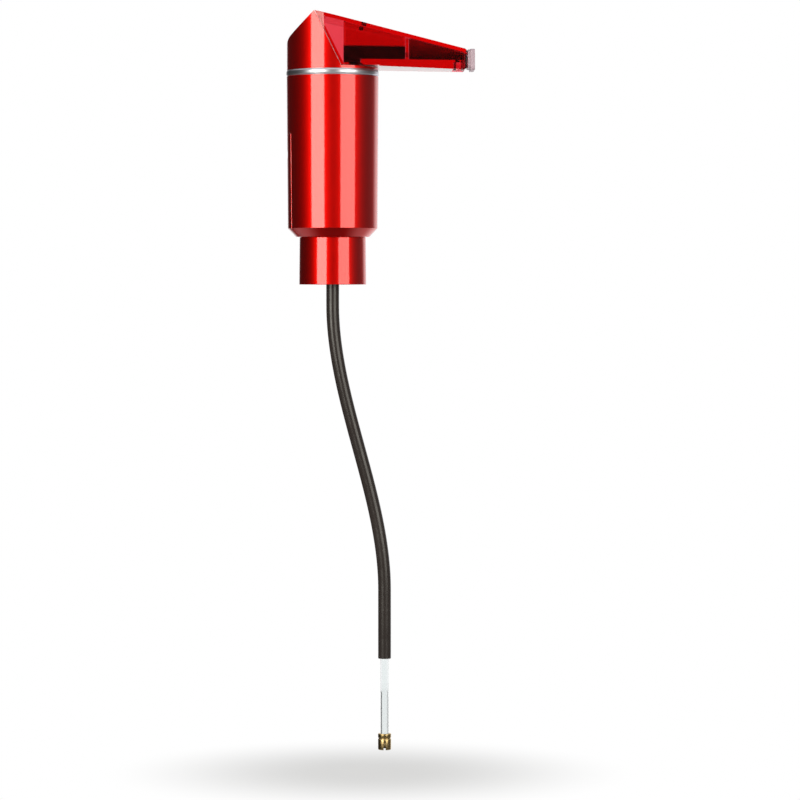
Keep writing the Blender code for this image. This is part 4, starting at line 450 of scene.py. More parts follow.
# %% Lay the floor
TUBE_REACH, PAPER_R = 12.0, 3000
FLOOR_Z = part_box("tube_foot")[0].z / MM - TUBE_REACH - 0.5
bm = bmesh.new()
turns = [2 * pi * k / 96 for k in range(96)]
bm.faces.new([bm.verts.new((PAPER_R * cos(t), PAPER_R * sin(t), FLOOR_Z)) for t in turns])
floor = into_scene("floor", bm)
paper = bpy.data.materials.new("paper")
paper.use_nodes = True
tree = paper.node_tree
shader = tree.nodes["Principled BSDF"]
shader.inputs["Base Color"].default_value = (0.80, 0.80, 0.80, 1)
shader.inputs["Roughness"].default_value = 0.9
shader.inputs["Specular IOR Level"].default_value = 0.0
place = node(tree, "TexCoord").outputs["Object"]
away = node(tree, "VectorMath", {0: place, 1: (0.02, 0.0, FLOOR_Z * MM)}, operation="DISTANCE")
run_out = node(tree, "MapRange", {"Value": away.outputs["Value"], "From Min": 0.02, "From Max": 0.15,
                                  "To Min": 0.45, "To Max": 1.0}, interpolation_type="SMOOTHSTEP")
ray = node(tree, "LightPath")
seen = compute(tree, "MAXIMUM", ray.outputs["Is Camera Ray"], ray.outputs["Is Transmission Ray"])
share = compute(tree, "MULTIPLY", seen, run_out.outputs[0])
glow = node(tree, "Emission", {"Color": (1, 1, 1, 1), "Strength": 1.0})
mixed = node(tree, "MixShader", {0: share, 1: shader.outputs[0], 2: glow.outputs[0]})
tree.links.new(mixed.outputs[0], tree.nodes["Material Output"].inputs["Surface"])
floor.data.materials.append(paper)
floor.visible_glossy = False
print("floor at", round(FLOOR_Z, 1), "mm")

# %% [markdown]
# ## The body and the neck collar
# The body is a tube of painted metal, slightly wider at its top, with a chamfered foot. The collar below it
# slips over a neck. Both are turned: a profile is spun round the axis, as on a lathe, with 160 sides, so
# that the mirrored softboxes run straight down the metal without steps.

# %% Sizes of the turned pieces
COLLAR_TOP_R, COLLAR_LOW_R, COLLAR_TOP, COLLAR_LOW, COLLAR_WALL = 18.2, 18.45, 2.0, -23.8, 1.5
FOOT_R, LOW_R, TOP_R, BODY_WALL = 20.1, 24.65, 25.25, 1.5
BODY_LOW, CHAMFER_TOP, BODY_TOP, FLOOR_TOP = 2.3, 7.0, 90.2, 4.8
DOOR_HALF, DOOR_TOP, GAP, SEAM = 10.45, 58.7, 0.3, 0.04
SCREWS = [(14 * cos(t), 14 * sin(t)) for t in (pi / 4, 5 * pi / 4)]
VENT_X, SCREW_HOLE = -5.6, 1.1


def body_radius(z):
    """The body's outer radius above its chamfer."""
    return LOW_R + (TOP_R - LOW_R) * (z - CHAMFER_TOP) / (BODY_TOP - CHAMFER_TOP)


CORNER = CHAMFER_TOP + BODY_WALL * tan(atan2(LOW_R - FOOT_R, CHAMFER_TOP - BODY_LOW) / 2)


def inner_foot(z):
    """The inner radius of the body along its chamfer."""
    return LOW_R - BODY_WALL - (LOW_R - FOOT_R) / (CHAMFER_TOP - BODY_LOW) * (CORNER - z)


print("body", 2 * LOW_R, "to", 2 * TOP_R, "mm wide")

# %% Turn the collar
STEM_HOLE, under_roof = 2.7, COLLAR_TOP - 1.1
rim_out, rim_in, rim_top = COLLAR_TOP_R - 0.4, COLLAR_TOP_R - 1.6, BODY_LOW - SEAM
profile = [(STEM_HOLE, under_roof), (COLLAR_TOP_R - COLLAR_WALL, under_roof),
           (COLLAR_LOW_R - COLLAR_WALL, COLLAR_LOW), (COLLAR_LOW_R, COLLAR_LOW), (COLLAR_TOP_R, COLLAR_TOP),
           (rim_out, COLLAR_TOP), (rim_out, rim_top), (rim_in, rim_top), (rim_in, COLLAR_TOP),
           (STEM_HOLE, COLLAR_TOP)]
collar = turned("red_collar", soften(profile, 0.2, 3), 160)
carve(collar, *[rod("boss", 2.4, 1.2, 3.5, 32, place) for place in SCREWS], how="UNION")
holes = [rod("hole", SCREW_HOLE, 0.5, 5, 24, place) for place in SCREWS]
carve(collar, rod("vent", 1.5, -2, 4, 32, (VENT_X, 0)), *holes)
true_round(flat_faces(collar), (COLLAR_LOW, COLLAR_LOW_R, COLLAR_TOP, COLLAR_TOP_R))
mount(collar, RED_METAL, "housing", "metal_red", "neck_collar")
print("collar faces:", len(collar.data.polygons))


# %% Turn the body and cut the battery door out of its back
def door_plan(half, inner):
    """The door from above: straight sides and a round inner edge, run past the outer wall."""
    past, edge = -29, acos(half / inner)
    return [(past, half)] + arc((0, 0), inner, pi / 2 + edge, 3 * pi / 2 - edge, 24) + [(past, -half)]


FLOOR_HOLE = 7.6
profile = [(FLOOR_HOLE, BODY_LOW), (FOOT_R, BODY_LOW), (LOW_R, CHAMFER_TOP), (TOP_R, BODY_TOP),
           (TOP_R - BODY_WALL, BODY_TOP), (LOW_R - BODY_WALL, CORNER), (inner_foot(FLOOR_TOP), FLOOR_TOP),
           (FLOOR_HOLE, FLOOR_TOP)]
shell = turned("red_body", soften(profile, 0.2, 3), 160)
sill_r = COLLAR_LOW_R + GAP
tools = [plate("opening", door_plan(DOOR_HALF, sill_r), 0, DOOR_TOP)]
for place in SCREWS:
    tools += [rod("socket", 2.7, 0, 3.8, 32, place), rod("drill", SCREW_HOLE, 2, 7, 24, place)]
carve(shell, *tools)
WALLS = [(BODY_LOW, FOOT_R, CHAMFER_TOP, LOW_R), (CHAMFER_TOP, LOW_R, BODY_TOP, TOP_R)]
true_round(ease(shell, 0.22, 2, 34), *WALLS, (BODY_LOW, sill_r, FLOOR_TOP, sill_r))
mount(shell, RED_METAL, "housing", "metal_red", "body_shell")
print("body faces:", len(shell.data.polygons))

# %% [markdown]
# ## The battery door
# The door is a slice of the same tube, so it is turned with the same profile and cut with the same plan, a
# hair smaller. Its seam shows as a thin line at the back edge of the body. A shallow thumb dimple near its
# top says where to push, and a springy tab behind its top edge holds it shut.

# %% Make the door
OVERRUN, TAB_HALF = 2, 4
DIMPLE, DIMPLE_SHIFT = (0.7, 5, 3), 0.075   # half its depth, width and height
door_top = DOOR_TOP - 2 * SEAM
profile = [(inner_foot(BODY_LOW), BODY_LOW), (FOOT_R, BODY_LOW), (LOW_R, CHAMFER_TOP),
           (body_radius(door_top), door_top), (body_radius(door_top) - BODY_WALL, door_top),
           (LOW_R - BODY_WALL, CORNER)]
door = turned("red_door", soften(profile, 0.2, 3), 160)
sector = plate("sector", door_plan(DOOR_HALF - GAP, COLLAR_LOW_R + 0.6), 0, DOOR_TOP + OVERRUN)
carve(door, sector, how="INTERSECT")
inside = body_radius(door_top) - BODY_WALL
face = sqrt((inside - GAP) ** 2 - TAB_HALF ** 2)
front, root = -face + 1.4, -inside - 0.75
low, middle, high = door_top - 3.4, door_top - 1.5, door_top + 2.4
tab = [(front, low), (root, low), (root, middle), (-face, middle), (-face, high), (front, high)]
carve(door, plate("tab", tab, -TAB_HALF, TAB_HALF, "Y"), how="UNION")
dimple_z = BODY_LOW + (DOOR_TOP - BODY_LOW) * 0.8
bm = bmesh.new()
bmesh.ops.create_uvsphere(bm, u_segments=48, v_segments=24, radius=1)
bmesh.ops.rotate(bm, verts=bm.verts, matrix=Matrix.Rotation(pi / 2, 3, "Y"))
bmesh.ops.scale(bm, verts=bm.verts, vec=DIMPLE)
spot = (-body_radius(dimple_z) - DIMPLE_SHIFT, DIMPLE_SHIFT, dimple_z)
bmesh.ops.translate(bm, verts=bm.verts, vec=spot)
carve(door, into_scene("dimple", bm))
# The long edges are broken by a flat that leans with the wall, and that mirrors the left softbox as a line at
# the seam. A long four-sided block cuts it, and takes one width off the wall and another off the side.
ON_WALL, ON_SIDE, OUTWARD = 0.16, 0.34, Vector((-3, 3))
for side in (-1, 1):
    bm = bmesh.new()
    ends = []
    for z in (CHAMFER_TOP, DOOR_TOP + OVERRUN):
        edge_y = DOOR_HALF - GAP
        edge_x = -sqrt(body_radius(z) ** 2 - edge_y ** 2)
        along = Vector((-edge_y, -edge_x)) / body_radius(z) * ON_WALL
        start, end = Vector((edge_x, edge_y)) - along, Vector((edge_x + ON_SIDE, edge_y))
        past = (end - start) / 2
        corners = [start - past, end + past, end + past + OUTWARD, start - past + OUTWARD]
        ends.append([bm.verts.new((x, y * side, z)) for x, y in corners])
    bm.faces.new(ends[0])
    bm.faces.new(ends[1])
    for k in range(4):
        bm.faces.new([ends[0][k], ends[0][k - 1], ends[1][k - 1], ends[1][k]])
    carve(door, into_scene("flat", bm))
true_round(ease(door, 0.2, 2, 34), *WALLS)
mount(door, RED_METAL, "door", "metal_red", "battery_door")
print("door faces:", len(door.data.polygons))

# %% [markdown]
# ## The chrome ring
# A ring in satin chrome sits between the body and the head. It mirrors the studio, so it is white where a
# softbox is and dark grey in between. Its two bevels mirror the ceiling and the table, and make a bright
# line along each rim. Its spigot goes down into the body.

# %% Turn the ring
HEAD_LOW, SPIGOT_LOW, SPIGOT_WALL, BEVEL = 93.7, 87.0, 1.3, 0.65
RIM_LOW, RIM_TOP = 90.5, 93.4
outer = TOP_R + 0.1
spigot = TOP_R - BODY_WALL - GAP
lip = outer - 0.45
edge = outer - 0.3
profile = [(spigot - SPIGOT_WALL, SPIGOT_LOW), (spigot, SPIGOT_LOW), (spigot, BODY_TOP + SEAM),
           (lip, BODY_TOP + SEAM), (lip, RIM_LOW), (edge, RIM_LOW), (outer, RIM_LOW + BEVEL),
           (outer, RIM_TOP - BEVEL), (edge, RIM_TOP), (lip, RIM_TOP), (lip, HEAD_LOW - SEAM),
           (spigot - SPIGOT_WALL, HEAD_LOW - SEAM)]
ring = turned("bright_ring", soften(profile, 0.3, 4), 160)
mount(flat_faces(ring), CHROME, "housing", "chrome", "chrome_ring")
print("ring", round(2 * outer, 1), "mm wide")

# %% [markdown]
# ## The head
# The head is a short tube of the same painted metal, cut by two planes: a slope at the back, for the thumb
# and the button, and a slanted front, where the spout stands against it. Its lowest part runs on forward as
# a thin plate under the spout. It is cut from a round bar with a side outline, which gives the true curved
# edges of such a cut.

# %% The head's outlines
HEAD_R, PLATE_TOP, APEX_X, APEX_Z, CUT_X = 25.1, 95.15, -10.04, 125.0, 4.518
LEAN = (CUT_X - APEX_X) / (APEX_Z - PLATE_TOP)
HEAD_WALL, FILLET, RISER_X = 1.6, 8.0, 11.2


def cut_x(z, inset=0.0):
    """Where the slanted front is at a height."""
    return CUT_X - (z - PLATE_TOP) * LEAN - inset * sqrt(1 + LEAN * LEAN)


def head_side(inset, low, steps=16):
    """The head from the side, (x, z): upright back, fillet, slope, apex."""
    back = inset - HEAD_R
    apex_z = APEX_Z
    for _ in range(8):
        x = cut_x(apex_z, inset)
        apex_z = APEX_Z - inset * sqrt(2) - (APEX_X - x)
    apex = (cut_x(apex_z, inset), apex_z)
    fillet = FILLET - inset
    centre = (back + fillet, apex_z - (apex[0] - back) - fillet * tan(pi / 8))
    return [(back, low)] + arc(centre, fillet, pi, 3 * pi / 4, steps) + [apex]


print("slanted front leans", round(LEAN, 3), "mm for each mm of height")

# %% Cut the head
outline = head_side(0, HEAD_LOW)
BAR_LOW, BAR_TOP = 90, 128
outline[0] = (-WIDE, HEAD_LOW)
outline.insert(1, (-WIDE, outline[1][1]))
outline += [(cut_x(PLATE_TOP), PLATE_TOP), (WIDE, PLATE_TOP), (WIDE, HEAD_LOW)]
head = from_side("red_head", outline)
carve(head, rod("round", HEAD_R, BAR_LOW, BAR_TOP, 160), how="INTERSECT")
shelf = PLATE_TOP + GAP
hollow = from_side("hollow", head_side(HEAD_WALL, shelf) + [(cut_x(shelf, HEAD_WALL), shelf)])
carve(hollow, rod("round", HEAD_R - HEAD_WALL, BAR_LOW, BAR_TOP, 160), how="INTERSECT")
carve(head, hollow)
skirt_r = TOP_R - BODY_WALL - GAP - SPIGOT_WALL - GAP
skirt_in, skirt_low, skirt_top = skirt_r - 1.2, HEAD_LOW - 5, HEAD_LOW + 0.7
skirt = [(skirt_in, skirt_low), (skirt_r, skirt_low), (skirt_r, skirt_top), (skirt_in, skirt_top)]
carve(head, turned("skirt", skirt, 160), how="UNION")
front = cut_x(HEAD_LOW - 2, HEAD_WALL)
start = atan2(sqrt(skirt_in ** 2 - front ** 2), front)
mouth = arc((0, 0), skirt_in, start, 2 * pi - start, 64)
carve(head, plate("mouth", mouth, HEAD_LOW - 2.5, shelf + GAP),
      rod("inlet", 2.9, BAR_LOW, 97, 48, (RISER_X, 0)))
print("head faces before the button's seat:", len(head.data.polygons))

# %% [markdown]
# ## The button
# The button lies on the back slope, where the thumb rests. It is a flush black oval in a bright bezel. Its
# pieces are made flat, round the origin, and then carried to the slope by one matrix, whose Z points out of
# the slope.

# %% Seat the button in the head
BUTTON_AT = Vector((-16.817, 0, 118.223))
SLOPE = Matrix.Translation(BUTTON_AT * MM) @ Matrix.Rotation(-pi / 4, 4, "Y")
STRAIGHT, POST_X, POST_Y = 4.5, -3, 13.4


def pill(radius, steps=24):
    """A pill outline with its long side along Y. Its straight part is the same for all the pieces."""
    return arc((0, STRAIGHT), radius, 0, pi, steps) + arc((0, -STRAIGHT), radius, pi, 2 * pi, steps)


def onto_slope(piece):
    """Carries a piece that was made flat to the button's place on the slope."""
    piece.data.transform(SLOPE)
    return piece


def two_rods(name, radius, low, high, steps):
    """A rod on either side of the button, square to the slope."""
    return [onto_slope(rod(name, radius, low, high, steps, (POST_X, POST_Y * side))) for side in (-1, 1)]


carve(head, onto_slope(plate("seat", pill(6.7), -3.6, 2)))
carve(head, *two_rods("post", 1.8, -7.4, -0.8, 24), how="UNION")
carve(head, *two_rods("drill", SCREW_HOLE, -9.7, -3.2, 16))
true_round(ease(head, 0.32, 3, 30), (HEAD_LOW, HEAD_R, APEX_Z, HEAD_R))
mount(head, RED_METAL, "housing", "metal_red", "head_shell")
print("head faces:", len(head.data.polygons))

# %% Make the bezel and the button
bezel = plate("bright_bezel", pill(6.4), -1.6, 0.2)
carve(bezel, plate("opening", pill(5.4), -3, 2))
mount(ease(onto_slope(bezel), 0.15, 3), CHROME, "housing", "chrome", "button_bezel")
cap = plate("black_button", pill(5.0), -2.4, 0)
carve(cap, plate("flange", pill(5.8), -3.2, -2.4), how="UNION")
mount(ease(onto_slope(cap), 0.3, 3), BLACK, "button", "black_plastic", "button_cap")
print("button and bezel made")

# %% [markdown]
# ## The spout
# The spout is a clear red shell with a thick roof, closed below by a base. The flow rises into the tray
# behind the slanted rear wall, passes the plate across the spout, and falls from the nozzle near the tip.
# Seen from above, the shell follows the head's round and narrows to the tip, so its sides are straight lines
# that touch the round.

# %% The spout's outlines
REACH, TIP_HALF, TIP_CORNER, TIP_TOP, TIP_DROP, STEP = 73.6, 12.5, 3.0, 10.0, 1.6, 0.2
NOSE_FILLET, NOSE_CHAMFER, WALL, ROOF = 2.0, 1.5, 1.4, 2.0
SPOUT_LOW = PLATE_TOP + GAP


def roof_z(x):
    """The top of the spout's roof."""
    return APEX_Z - (APEX_Z - PLATE_TOP - TIP_TOP) / (REACH - APEX_X) * (x - APEX_X)


def spout_plan(inset, back_steps=96, corner_steps=10):
    """The spout from above: the head's round, drawn out to a narrow tip."""
    radius = HEAD_R - inset
    corner = max(TIP_CORNER - inset, 0.4)
    centre = (REACH - inset - corner, TIP_HALF - inset - corner)
    turn = atan2(centre[1], centre[0]) + acos((radius - corner) / hypot(*centre))
    return (arc((0, 0), radius, turn, 2 * pi - turn, back_steps)
            + arc((centre[0], -centre[1]), corner, -turn, 0, corner_steps)
            + arc(centre, corner, 0, turn, corner_steps))


def spout_side(rear, roof, nose_in, low_points):
    """The spout from the side, (x, z): slanted rear, sloping roof and round nose, then the low points."""
    top_z = APEX_Z
    for _ in range(8):
        top_x = cut_x(top_z, -GAP - rear)
        top_z = roof_z(top_x) - roof
    nose = REACH - nose_in
    centre = (nose - NOSE_FILLET, roof_z(nose) - roof - NOSE_FILLET)
    return [(top_x, top_z)] + arc(centre, NOSE_FILLET, pi / 2, 0, 10) + low_points


def tip_low(x):
    """The underside of the spout beyond the head."""
    return PLATE_TOP - STEP - (TIP_DROP - STEP) * (x - HEAD_R) / (REACH - HEAD_R)


edge = HEAD_R + GAP
print("spout reaches", REACH, "mm, roof from", round(roof_z(APEX_X), 1), "to", round(roof_z(REACH), 1), "mm")

# %% Cut the spout's shell
low_points = [(REACH, tip_low(REACH) + NOSE_CHAMFER), (REACH - NOSE_CHAMFER, tip_low(REACH - NOSE_CHAMFER)),
              (edge, tip_low(edge)), (edge, SPOUT_LOW), (cut_x(SPOUT_LOW, -GAP), SPOUT_LOW)]
low = SPOUT_LOW - 4
spout = plate("clear_spout", spout_plan(0), low, APEX_Z + OVERRUN)
carve(spout, from_side("side", spout_side(0, 0, 0, low_points)), how="INTERSECT")
nose = REACH - WALL
room = plate("room", spout_plan(WALL), low - OVERRUN, APEX_Z)
low_points = [(nose, low), (cut_x(low, -GAP - WALL), low)]
carve(room, from_side("side", spout_side(WALL, ROOF, WALL, low_points)), how="INTERSECT")
GROMMET_X = 15.6
carve(spout, room, rod("hole", 1.4, 108, BAR_TOP, 32, (GROMMET_X, 0)))
ease(spout, 0.14, 2, 30)
mount(spout, CLEAR_RED, "spout", "clear_red", "spout_shell")
print("spout faces:", len(spout.data.polygons))


# %% Close it with its base
def in_spout(name, side_points):
    """A solid that fills the spout's plan with a clearance, cut to a side outline."""
    z = [point[1] for point in side_points]
    piece = plate(name, spout_plan(WALL + GAP), min(z) - OVERRUN, max(z) + OVERRUN)
    return carve(piece, from_side("side", side_points), how="INTERSECT")


BASE_X, BASE_END, THIN, BASE_Z, NOZZLE_X = 15.3, 65.8, 1.2, PLATE_TOP + 3.5, 69.1


def rear_x(z):
    """The clear limit behind the pieces inside the spout."""
    return cut_x(z, -GAP - WALL - GAP)


thin_top = SPOUT_LOW + THIN
nose = REACH - WALL - GAP
outline = [(rear_x(SPOUT_LOW), SPOUT_LOW), (edge, SPOUT_LOW), (edge, tip_low(edge)),
           (BASE_END, tip_low(BASE_END)), (BASE_END, BASE_Z - THIN), (nose, BASE_Z - THIN), (nose, BASE_Z)]
outline += arc((BASE_X + THIN, BASE_Z - THIN), THIN, pi / 2, pi, 8)
outline += [(BASE_X, thin_top), (rear_x(thin_top), thin_top)]
base = in_spout("clear_base", outline)
carve(base, rod("seal hole", 4.0, 94, 98, 48, (RISER_X, 0)),
      rod("nozzle hole", 2.8, 96, 100, 48, (NOZZLE_X, 0)))
ease(base, 0.2, 2, 30)
mount(base, CLEAR_RED, "spout", "clear_red", "spout_base")
print("base faces:", len(base.data.polygons))

# %% [markdown]
# ## Inside the spout
# Two smoked trays carry the flow. They are clear red above and smoked below, which gives the dark lower zone.

# %% Make the trays, the baffle, the nozzle and the end plate
THICK = 1.0   # of the trays' walls


def tray(name, outer, inner):
    """A thin-walled tray: an outer side outline less an inner one, with its walls left standing."""
    piece = in_spout(name, outer)
    z = [point[1] for point in inner]
    room = plate("room", spout_plan(WALL + GAP + THICK), min(z) - OVERRUN, max(z) + OVERRUN)
    return carve(piece, carve(room, from_side("side", inner), how="INTERSECT"))


BAFFLE_X, BAFFLE_HALF, BAFFLE_TOP = 40.48, 0.7, PLATE_TOP + 14.8
baffle_back, baffle_front = BAFFLE_X - BAFFLE_HALF, BAFFLE_X + BAFFLE_HALF
floor_z, well = BASE_Z + GAP, SPOUT_LOW + THIN + GAP
step, end, back = BASE_X - GAP, baffle_back - GAP, rear_x(SPOUT_LOW + THIN + GAP)
under = ROOF + 0.5
outer = [(back, well), (step, well), (step, floor_z), (end, floor_z), (end, roof_z(end) - under),
         (back, roof_z(back) - under)]
inner = [(back + THICK, well + THICK), (step - THICK, well + THICK), (step - THICK, floor_z + THICK),
         (end - THICK, floor_z + THICK), (end - THICK, roof_z(end)), (back + THICK, roof_z(back))]
inlet = tray("smoked_inlet_tray", outer, inner)
carve(inlet, rod("hole", 3.0, 95, 100, 48, (RISER_X, 0)))
mount(ease(inlet, 0.15, 2, 30), SMOKED_INLET, "spout", "smoked_plastic", "flow_channel_inlet")
start = baffle_front + GAP
under = ROOF + NOSE_FILLET / 2
outer = [(start, floor_z), (nose, floor_z), (nose, roof_z(nose) - under - GAP),
         (start, roof_z(start) - under)]
inner = [(start + THICK, floor_z + THICK), (nose - THICK, floor_z + THICK), (nose - THICK, roof_z(nose)),
         (start + THICK, roof_z(start))]
outlet = tray("smoked_outlet_tray", outer, inner)
carve(outlet, rod("hole", 2.0, 97, 101, 48, (NOZZLE_X, 0)))
mount(ease(outlet, 0.15, 2, 30), SMOKED_OUTLET, "spout", "smoked_plastic", "flow_channel_outlet")

outline = [(baffle_back, floor_z), (baffle_front, floor_z), (baffle_front, BAFFLE_TOP),
           (baffle_back, BAFFLE_TOP)]
baffle = in_spout("clear_baffle", outline)
HOLE_APART, HOLE_UP, HOLE_R = 4.0, 3, 1
rounds = [arc((HOLE_APART * i, floor_z + HOLE_UP), HOLE_R, 0, 2 * pi * 23 / 24, 23) for i in range(-2, 3)]
carve(baffle, *[plate("hole", points, BAFFLE_X - OVERRUN, BAFFLE_X + OVERRUN, "X") for points in rounds])
mount(ease(baffle, 0.15, 2, 30), CLEAR_RED, "spout", "clear_red", "aeration_baffle")
profile = [(2.0, tip_low(NOZZLE_X)), (2.9, tip_low(NOZZLE_X)), (2.9, BASE_Z - THIN - GAP),
           (2.5, BASE_Z - THIN - GAP), (2.5, BASE_Z), (2.0, BASE_Z)]
nozzle = turned("clear_nozzle", soften(profile, 0.15, 3), 64, (NOZZLE_X, 0))
mount(nozzle, CLEAR_RED, "spout", "clear_red", "nozzle")


def rounded(half, low, high, corner, steps=10):
    """(y, z) points of a rectangle with round corners."""
    points = []
    for i, (y, z) in enumerate([(half, high), (-half, high), (-half, low), (half, low)]):
        inward = (y - corner if y > 0 else y + corner, z - corner if z == high else z + corner)
        points += arc(inward, corner, pi / 2 * i, pi / 2 * (i + 1), steps)
    return points


neck = REACH + GAP
low, high = PLATE_TOP - 1.7, PLATE_TOP + 9.9
END_HALF = 11.1
end_cap = plate("frosted_end_plate", rounded(END_HALF, low, high, 2.2), neck + 1.4, neck + 3.9, "X")
inner = rounded(END_HALF - 1, low + 1, high - GAP, 2.2)
carve(end_cap, plate("neck", inner, neck, neck + 1.7, "X"), how="UNION")
mount(ease(end_cap, 0.35, 3, 30), FROSTED, "spout", "frosted_plastic", "spout_end_cap")
print("inside of the spout made")

# %% [markdown]
# ## The dip tube
# The tube hangs from the stopper and leans to one side. Its centre line runs straight, bends smoothly and
# ends straight, so it is a ring of points carried along that line.

# %% Sweep the tube
def swept(name, points, radius, bore, sides=48):
    """A tube along points in the XZ plane, open at both ends."""
    bm = bmesh.new()
    layers = []
    for size in (radius, bore):
        rings = []
        for i, spot in enumerate(points):
            ahead = (points[min(i + 1, len(points) - 1)] - points[max(i - 1, 0)]).normalized()
            third = ahead.cross(Vector((0, 1, 0)))
            ways = [Vector((0, cos(2 * pi * k / sides), 0)) + third * sin(2 * pi * k / sides)
                    for k in range(sides)]
            rings.append([bm.verts.new(spot + way * size) for way in ways])
        for low, high in zip(rings, rings[1:]):
            band(bm, low, high)
        layers.append(rings)
    for end in (0, -1):
        band(bm, layers[0][end], layers[1][end])
    return into_scene(name, bm)


TUBE_X, TUBE_TOP, BEND_TOP, BEND_HEIGHT, TUBE_END, TUBE_R, TUBE_BORE = 28.5, -16.3, -35, 157, -230, 3.55, 2.7
route = [Vector((0, 0, TUBE_TOP))]
for i in range(65):
    t = i / 64
    route.append(Vector((TUBE_X * t * t * (3 - 2 * t), 0, BEND_TOP - BEND_HEIGHT * t)))
route.append(Vector((TUBE_X, 0, TUBE_END)))
tube = ease(swept("dark_dip_tube", route, TUBE_R, TUBE_BORE), 0.2, 2, 40)
mount(tube, TUBE_BLACK, "housing", "black_plastic", "dip_tube_outer")
print("tube faces:", len(tube.data.polygons))

# %% [markdown]
# ## The other round pieces
# Eleven smaller pieces are round, and a table of profiles makes them all: the rubber plug with its ribs, the
# stem with its barbs, the riser, the seals, the check valve and the lower tube with its weighted foot. A
# profile that starts at radius 0 is solid, and any other is a ring or a pipe.

# %% Turn them from a table
top = roof_z(GROMMET_X + 1.1)
plug = [(2.7, -16), (8, -16), (9, -15)]
for middle in (-12, -8, -4):
    plug += [(9, middle - 0.6), (9.35, middle - 0.2), (9.4, middle), (9.35, middle + 0.2), (9, middle + 0.6)]
plug += [(9, 0.6), (2.7, 0.6)]
stem = [(1.5, -26), (2.2, -26)]
for low in (-25.6, -23.6, -21.6):
    stem += [(2.3, low), (2.6, low + 1.2), (2.6, low + 1.5), (2.4, low + 1.5)]
stem += [(2.4, 2.3), (3.8, 2.3), (3.8, 3.3), (2.4, 3.3), (2.4, 4.8), (1.5, 4.8)]
valve_low, valve_high = 31.32, 41.32
valve = [(0, valve_low), (1.15, valve_low), (1.45, valve_low + 0.5), (1.45, valve_low + 1),
         (2.9, valve_low + 2), (2.9, valve_low + 4.4), (2.6, valve_low + 4.7), (2.6, valve_low + 5.3),
         (2.9, valve_low + 5.6), (2.9, valve_high - 2), (1.45, valve_high - 1), (1.45, valve_high - 0.5),
         (1.15, valve_high), (0, valve_high)]
MOTOR_X, PUMP_Z, HOSE_Y, HOSE_R, LEAD_R = -10.549, 90.7, 15, 1.6, 0.6
TURNED = [
    ("lip_gasket", RUBBER, "housing", "black_rubber", (0, 0),
     [(9.7, 0), (16.4, 0), (16.4, 0.6), (9.7, 0.6)]),
    ("stopper_plug", RUBBER, "housing", "black_rubber", (0, 0), plug),
    ("tube_stem", WHITE, "housing", "white_plastic", (0, 0), stem),
    ("air_vent_tube", BRASS, "housing", "brass", (VENT_X, 0),
     [(0.6, -19), (1.2, -19), (1.2, 4.8), (0.6, 4.8)]),
    ("wine_riser", TUBING, "housing", "clear_tube", (RISER_X, 0),
     [(1.6, 8.6), (2.6, 8.6), (2.6, 97.9), (2.2, 98.75), (1.6, 98.75)]),
    ("air_check_valve", WHITE, "housing", "white_plastic", (VENT_X, HOSE_Y), valve),
    ("inlet_seal", RED_SILICONE, "spout", "black_rubber", (RISER_X, 0),
     [(2.9, SPOUT_LOW), (3.7, SPOUT_LOW), (3.7, SPOUT_LOW + THIN), (2.9, SPOUT_LOW + THIN)]),
    ("air_inlet_grommet", RED_SILICONE, "spout", "black_rubber", (GROMMET_X, 0),
     [(0.5, top - 3), (1.1, top - 3), (1.1, top), (0.5, top)]),
    ("motor_shaft", STEEL, "rotor", "steel", (MOTOR_X, 0),
     [(0, 80.1), (0.75, 80.1), (0.75, 93.7), (0, 93.7)]),
    ("dip_tube_inner", TUBING, "tube_extension", "clear_tube", (TUBE_X, 0),
     [(1.5, -276), (2.3, -276), (2.3, -205), (1.5, -205)]),
    ("tube_foot", BRASS, "tube_extension", "brass", (TUBE_X, 0),
     [(1.5, -280.5), (3.3, -280.5), (3.6, -280.2), (3.6, -274.6), (3.3, -274.4), (3.3, -273.9), (3.6, -273.7),
      (3.6, -271.8), (3.3, -271.5), (2.6, -271.5), (2.6, -276.3), (1.5, -276.3)]),
]
fine = {}
for name, material, body, slot, place, profile in TURNED:
    ring_shaped = profile[0][0] > 0
    piece = turned("fine_" + name, soften(profile, 0.12, 2, ring_shaped), 64, place, ring_shaped)
    fine[name] = mount(piece, material, body, slot, name)
carve(fine["stopper_plug"], rod("hole", 1.5, -18, 2, 32, (VENT_X, 0)))
for wide, deep in ((6, 0.6), (0.6, 6)):
    carve(fine["tube_foot"], block("slot", (TUBE_X - wide, TUBE_X + wide), (-deep, deep), (-283, -279.3)))
print("round pieces:", ", ".join(fine))

# %% [markdown]
# ## Screws
# All six screws are of one kind: a pan head with a cross recess, and a thread. The thread is made of rings
# in the turned profile, because a true spiral would look the same at this size. Each stands where the CAD
# has it.

# %% Make the screws
PITCH, ROOT_R, CREST_R, HEAD_TALL = 0.45, 0.62, 0.8, 1.2


def screw(name, under_head, tip, place):
    """A screw whose head stands at one height, with its tip below or above it."""
    way = 1 if under_head > tip else -1
    profile = [(0, tip), (0.5, tip)]
    for k in range(int((abs(under_head - tip) - 0.5) / PITCH)):
        start = tip + (0.2 + PITCH * k) * way
        profile += [(ROOT_R, start), (CREST_R, start + 0.15 * way), (CREST_R, start + 0.22 * way),
                    (ROOT_R, start + 0.37 * way)]
    top = under_head + HEAD_TALL * way
    profile += [(0.7, under_head), (1.8, under_head), (1.8, top - 0.75 * way), (1.6, top - 0.3 * way),
                (1.1, top), (0, top)]
    piece = turned("fine_" + name, profile, 32, place, False)
    for wide, deep in ((1.1, 0.22), (0.22, 1.1)):
        recess = block("recess", (place[0] - wide, place[0] + wide), (place[1] - deep, place[1] + deep),
                       sorted((top - 0.6 * way, top + way)))
        carve(piece, recess)
    return mount(piece, STEEL, "housing", "steel", name)


